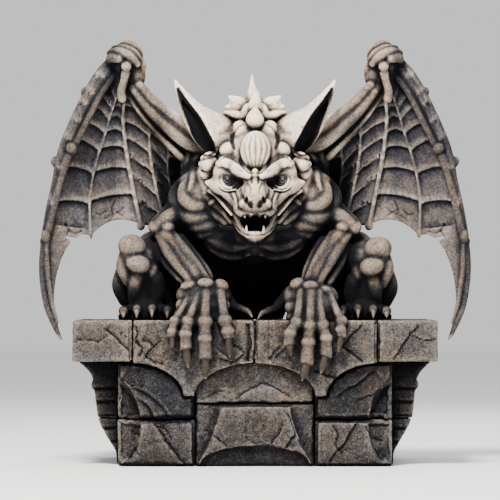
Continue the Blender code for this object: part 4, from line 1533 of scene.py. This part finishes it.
class Stone:
    """A stone material: its nodes, its patterns and its colours."""

    def __init__(self, name):
        self.material = bpy.data.materials.new(name)
        self.material.use_nodes = True
        self.tree = self.material.node_tree
        self.shader = self.tree.nodes["Principled BSDF"]
        self.place = self.add("ShaderNodeTexCoord", {}, {}, "Object")

    def add(self, kind, settings, inputs, output=0):
        node = self.tree.nodes.new(kind)
        for name, value in settings.items():
            setattr(node, name, value)
        for name, value in inputs.items():
            if isinstance(value, Value):
                self.tree.links.new(value.socket, node.inputs[name])
            else:
                node.inputs[name].default_value = value
        return Value(self, node.outputs[output])

    def mark(self, name):
        return self.add("ShaderNodeAttribute", {"attribute_name": name}, {}, "Fac")

    def mottle(self, across, detail=3, roughness=0.55):
        """Noise from 0 to 1 whose patches are about this many metres across."""
        return self.add("ShaderNodeTexNoise", {},
                        {"Vector": self.place, "Scale": 1 / across, "Detail": detail,
                         "Roughness": roughness})

    def cells(self, across):
        return self.add("ShaderNodeTexVoronoi", {}, {"Vector": self.place, "Scale": 1 / across})

    def mixed(self, share, first, second, blend="MIX"):
        return self.add("ShaderNodeMix", {"data_type": "RGBA", "blend_type": blend},
                        {0: share, 6: first, 7: second}, 2)

    def tinted(self, share, colour, tint):
        """The colour, multiplied by a tint as far as this share says."""
        return self.mixed(share, colour, self.mixed(1.0, colour, (*tint, 1), "MULTIPLY"))

    def toned(self, tone, stops):
        """Colours read along stops of (tone, colour)."""
        node = self.tree.nodes.new("ShaderNodeValToRGB")
        ramp = node.color_ramp
        ramp.elements[0].position, ramp.elements[0].color = stops[0][0], (*stops[0][1], 1)
        ramp.elements[1].position, ramp.elements[1].color = stops[-1][0], (*stops[-1][1], 1)
        for place, colour in stops[1:-1]:
            ramp.elements.new(place).color = (*colour, 1)
        self.tree.links.new(tone.socket, node.inputs[0])
        return Value(self, node.outputs[0])

    def bump(self, height, distance, strength):
        return self.add("ShaderNodeBump", {}, {"Height": height, "Distance": distance,
                                               "Strength": strength}, "Normal")

    def finish(self, colour, roughness, normal):
        for name, value in (("Base Color", colour), ("Roughness", roughness), ("Normal", normal)):
            self.tree.links.new(value.socket, self.shader.inputs[name])
        self.shader.inputs["Specular IOR Level"].default_value = 0.12
        return self.material


# Colours of the stone from its darkest tone to its lightest; the near-black low stops carry the
# painted shade
CARVED_STOPS = (
    (0.0, (0.002, 0.002, 0.003)),
    (0.20, (0.007, 0.007, 0.009)),
    (0.38, (0.034, 0.030, 0.029)),
    (0.54, (0.118, 0.091, 0.070)),
    (0.70, (0.270, 0.209, 0.155)),
    (0.85, (0.500, 0.402, 0.306)),
    (1.0, (0.780, 0.680, 0.560)),
)
CLAW_STOPS = ((0.0, (0.004, 0.003, 0.003)), (0.5, (0.055, 0.042, 0.034)),
              (1.0, (0.36, 0.30, 0.24)))
TOOTH_STOPS = ((0.0, (0.02, 0.018, 0.016)), (0.5, (0.26, 0.21, 0.16)), (1.0, (0.66, 0.58, 0.47)))


def carved_stone():
    stone = Stone("carved_limestone")
    curve, nook, shelter = (stone.mark(name) for name in ("curve", "nook", "shelter"))
    web, pale, gloom = (stone.mark(name) for name in ("web", "pale", "gloom"))
    horn, bone = stone.mark("horn"), stone.mark("bone")
    broad, patches = stone.mottle(0.16), stone.mottle(0.035, 4)
    grain, speck = stone.mottle(0.0042, 2, 0.7), stone.mottle(0.0095, 3, 0.65)
    # The tone paints light and shade into the colour: painted shade in hollows, nooks, under
    # overhangs, in the painted-shade places and under the webs' lips, painted highlights on ridges
    # and lips, and painted light by region; the mottles and grain are the stone's own
    tone = (0.50 - 0.60 * shelter.at_least(0) - 0.42 * nook.at_least(0)
            - 0.75 * curve.at_least(0) - 0.80 * curve.at_most(0) * (1 - 0.85 * web)
            + 0.33 * pale + 0.12 * web - 0.75 * gloom * (1 - bone) * (1 - 0.7 * horn)
            - 0.45 * stone.mark("under")
            + 0.26 * (broad - 0.5) + 0.18 * (patches - 0.5) + 0.5 * (grain - 0.5)
            + 0.34 * (speck - 0.5))
    colour = stone.toned(tone, CARVED_STOPS)
    cool = (stone.mottle(0.12, 2).fade(0.46, 0.66) * 0.45 + 0.55 * web).at_most(1)
    colour = stone.tinted(cool, colour, (0.78, 0.90, 1.14))
    warm = stone.mottle(0.09, 3).fade(0.52, 0.70) * 0.5
    colour = stone.tinted(warm, colour, (1.10, 0.93, 0.80))
    colour = stone.mixed(horn, colour, stone.toned(tone - 0.27, CLAW_STOPS))
    colour = stone.mixed(bone, colour, stone.toned(tone + 0.15, TOOTH_STOPS))
    pits = stone.cells(0.006).fade(0.10, 0.30)
    height = grain * 0.5 + speck * 0.8 + patches * 1.6 + pits * 0.25
    normal = stone.bump(height, 0.0026, 0.9 - 0.6 * horn)
    return stone.finish(colour, 0.86 - 0.28 * horn + 0.10 * (speck - 0.5), normal)


# Colours of the blocks from their darkest tone to their lightest; the near-black low stops carry
# the painted shade
BLOCK_STOPS = (
    (0.0, (0.002, 0.002, 0.003)),
    (0.22, (0.009, 0.009, 0.011)),
    (0.42, (0.040, 0.035, 0.033)),
    (0.60, (0.108, 0.091, 0.076)),
    (0.80, (0.205, 0.173, 0.140)),
    (1.0, (0.400, 0.340, 0.280)),
)


def block_stone():
    stone = Stone("block_sandstone")
    curve, nook, shelter = (stone.mark(name) for name in ("curve", "nook", "shelter"))
    crack = stone.mark("crack")
    broad, patches = stone.mottle(0.20, 4), stone.mottle(0.045, 5)
    grain, speck = stone.mottle(0.0045, 2, 0.8), stone.mottle(0.012, 4, 0.7)
    # The tone paints light and shade into the colour: painted shade in hollows, nooks and under
    # overhangs and on each shaded block, a painted highlight on arrises; the cracks, mottles and
    # grain are the stone's own
    tone = (0.55 - 0.44 * shelter.at_least(0) - 0.28 * nook.at_least(0) - stone.mark("dim")
            - 0.50 * curve.at_least(0) - 0.42 * curve.at_most(0) - 0.30 * crack
            + 0.26 * (broad - 0.5) + 0.24 * (patches - 0.5) + 0.95 * (grain - 0.5)
            + 0.50 * (speck - 0.5))
    colour = stone.toned(tone, BLOCK_STOPS)
    cool = stone.mottle(0.15, 3).fade(0.46, 0.62) * 0.65
    colour = stone.tinted(cool, colour, (0.80, 0.90, 1.10))
    warm = stone.mottle(0.11, 3).fade(0.50, 0.66) * 0.6
    colour = stone.tinted(warm, colour, (1.10, 0.95, 0.80))
    pits = stone.cells(0.008).fade(0.08, 0.32)
    height = grain * 0.9 + speck * 1.4 + patches * 2.4 + pits * 0.7
    normal = stone.bump(height, 0.0028, 0.9)
    return stone.finish(colour, 0.92 + 0.10 * (speck - 0.5), normal)


# Camera, light and stage

CAMERA_PLACE = (-0.015, -9.31, 0.50)
CAMERA_AIM = (-0.015, -0.31, 0.651)
CAMERA_LENS = 216
SENSOR_WIDTH = 36


def aimed(obj, target):
    direction = Vector(target) - obj.location
    obj.rotation_euler = direction.to_track_quat("-Z", "Y").to_euler()


def camera():
    data = bpy.data.cameras.new("camera")
    data.lens = CAMERA_LENS
    data.sensor_width = SENSOR_WIDTH
    obj = bpy.data.objects.new("camera", data)
    bpy.context.scene.collection.objects.link(obj)
    obj.location = CAMERA_PLACE
    aimed(obj, CAMERA_AIM)
    bpy.context.scene.camera = obj


def area_light(name, place, size, watts, colour=(1, 1, 1)):
    data = bpy.data.lights.new(name, "AREA")
    data.energy = watts
    data.shape = "DISK"
    data.size = size
    data.color = colour
    obj = bpy.data.objects.new(name, data)
    bpy.context.scene.collection.objects.link(obj)
    obj.location = place
    aimed(obj, (0, 0, 0.7))


def stage():
    bpy.ops.object.select_all(action="DESELECT")
    bpy.ops.mesh.primitive_plane_add(size=40)
    floor = bpy.context.object
    floor.name = "floor"
    made = bpy.data.materials.new("floor")
    made.use_nodes = True
    shader = made.node_tree.nodes["Principled BSDF"]
    shader.inputs["Base Color"].default_value = (0.86, 0.86, 0.85, 1)
    shader.inputs["Roughness"].default_value = 0.9
    floor.data.materials.append(made)
    world = bpy.data.worlds.new("studio")
    world.use_nodes = True
    world.node_tree.nodes["Background"].inputs["Color"].default_value = (0.97, 0.98, 1.0, 1)
    world.node_tree.nodes["Background"].inputs["Strength"].default_value = 0.85
    bpy.context.scene.world = world
    area_light("key", (-0.9, -3.0, 4.4), 1.2, 680, (1.0, 0.965, 0.92))
    area_light("fill", (3.4, -3.0, 1.6), 2.4, 20, (0.93, 0.96, 1.0))
    area_light("back", (1.2, 3.4, 3.2), 2.0, 90)


stone, marks = figure()
stone.name = "carved_gargoyle"
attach(stone, "root")
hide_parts("gargoyle")
blocks = plinth()
mark_shelter([stone, *blocks])
mark_figure(stone, marks)
carved, blocked = carved_stone(), block_stone()
for obj in (stone, *blocks):
    obj.data.materials.clear()
    obj.data.materials.append(carved if obj is stone else blocked)
    select_only(obj)
    bpy.ops.object.shade_smooth()
camera()
stage()
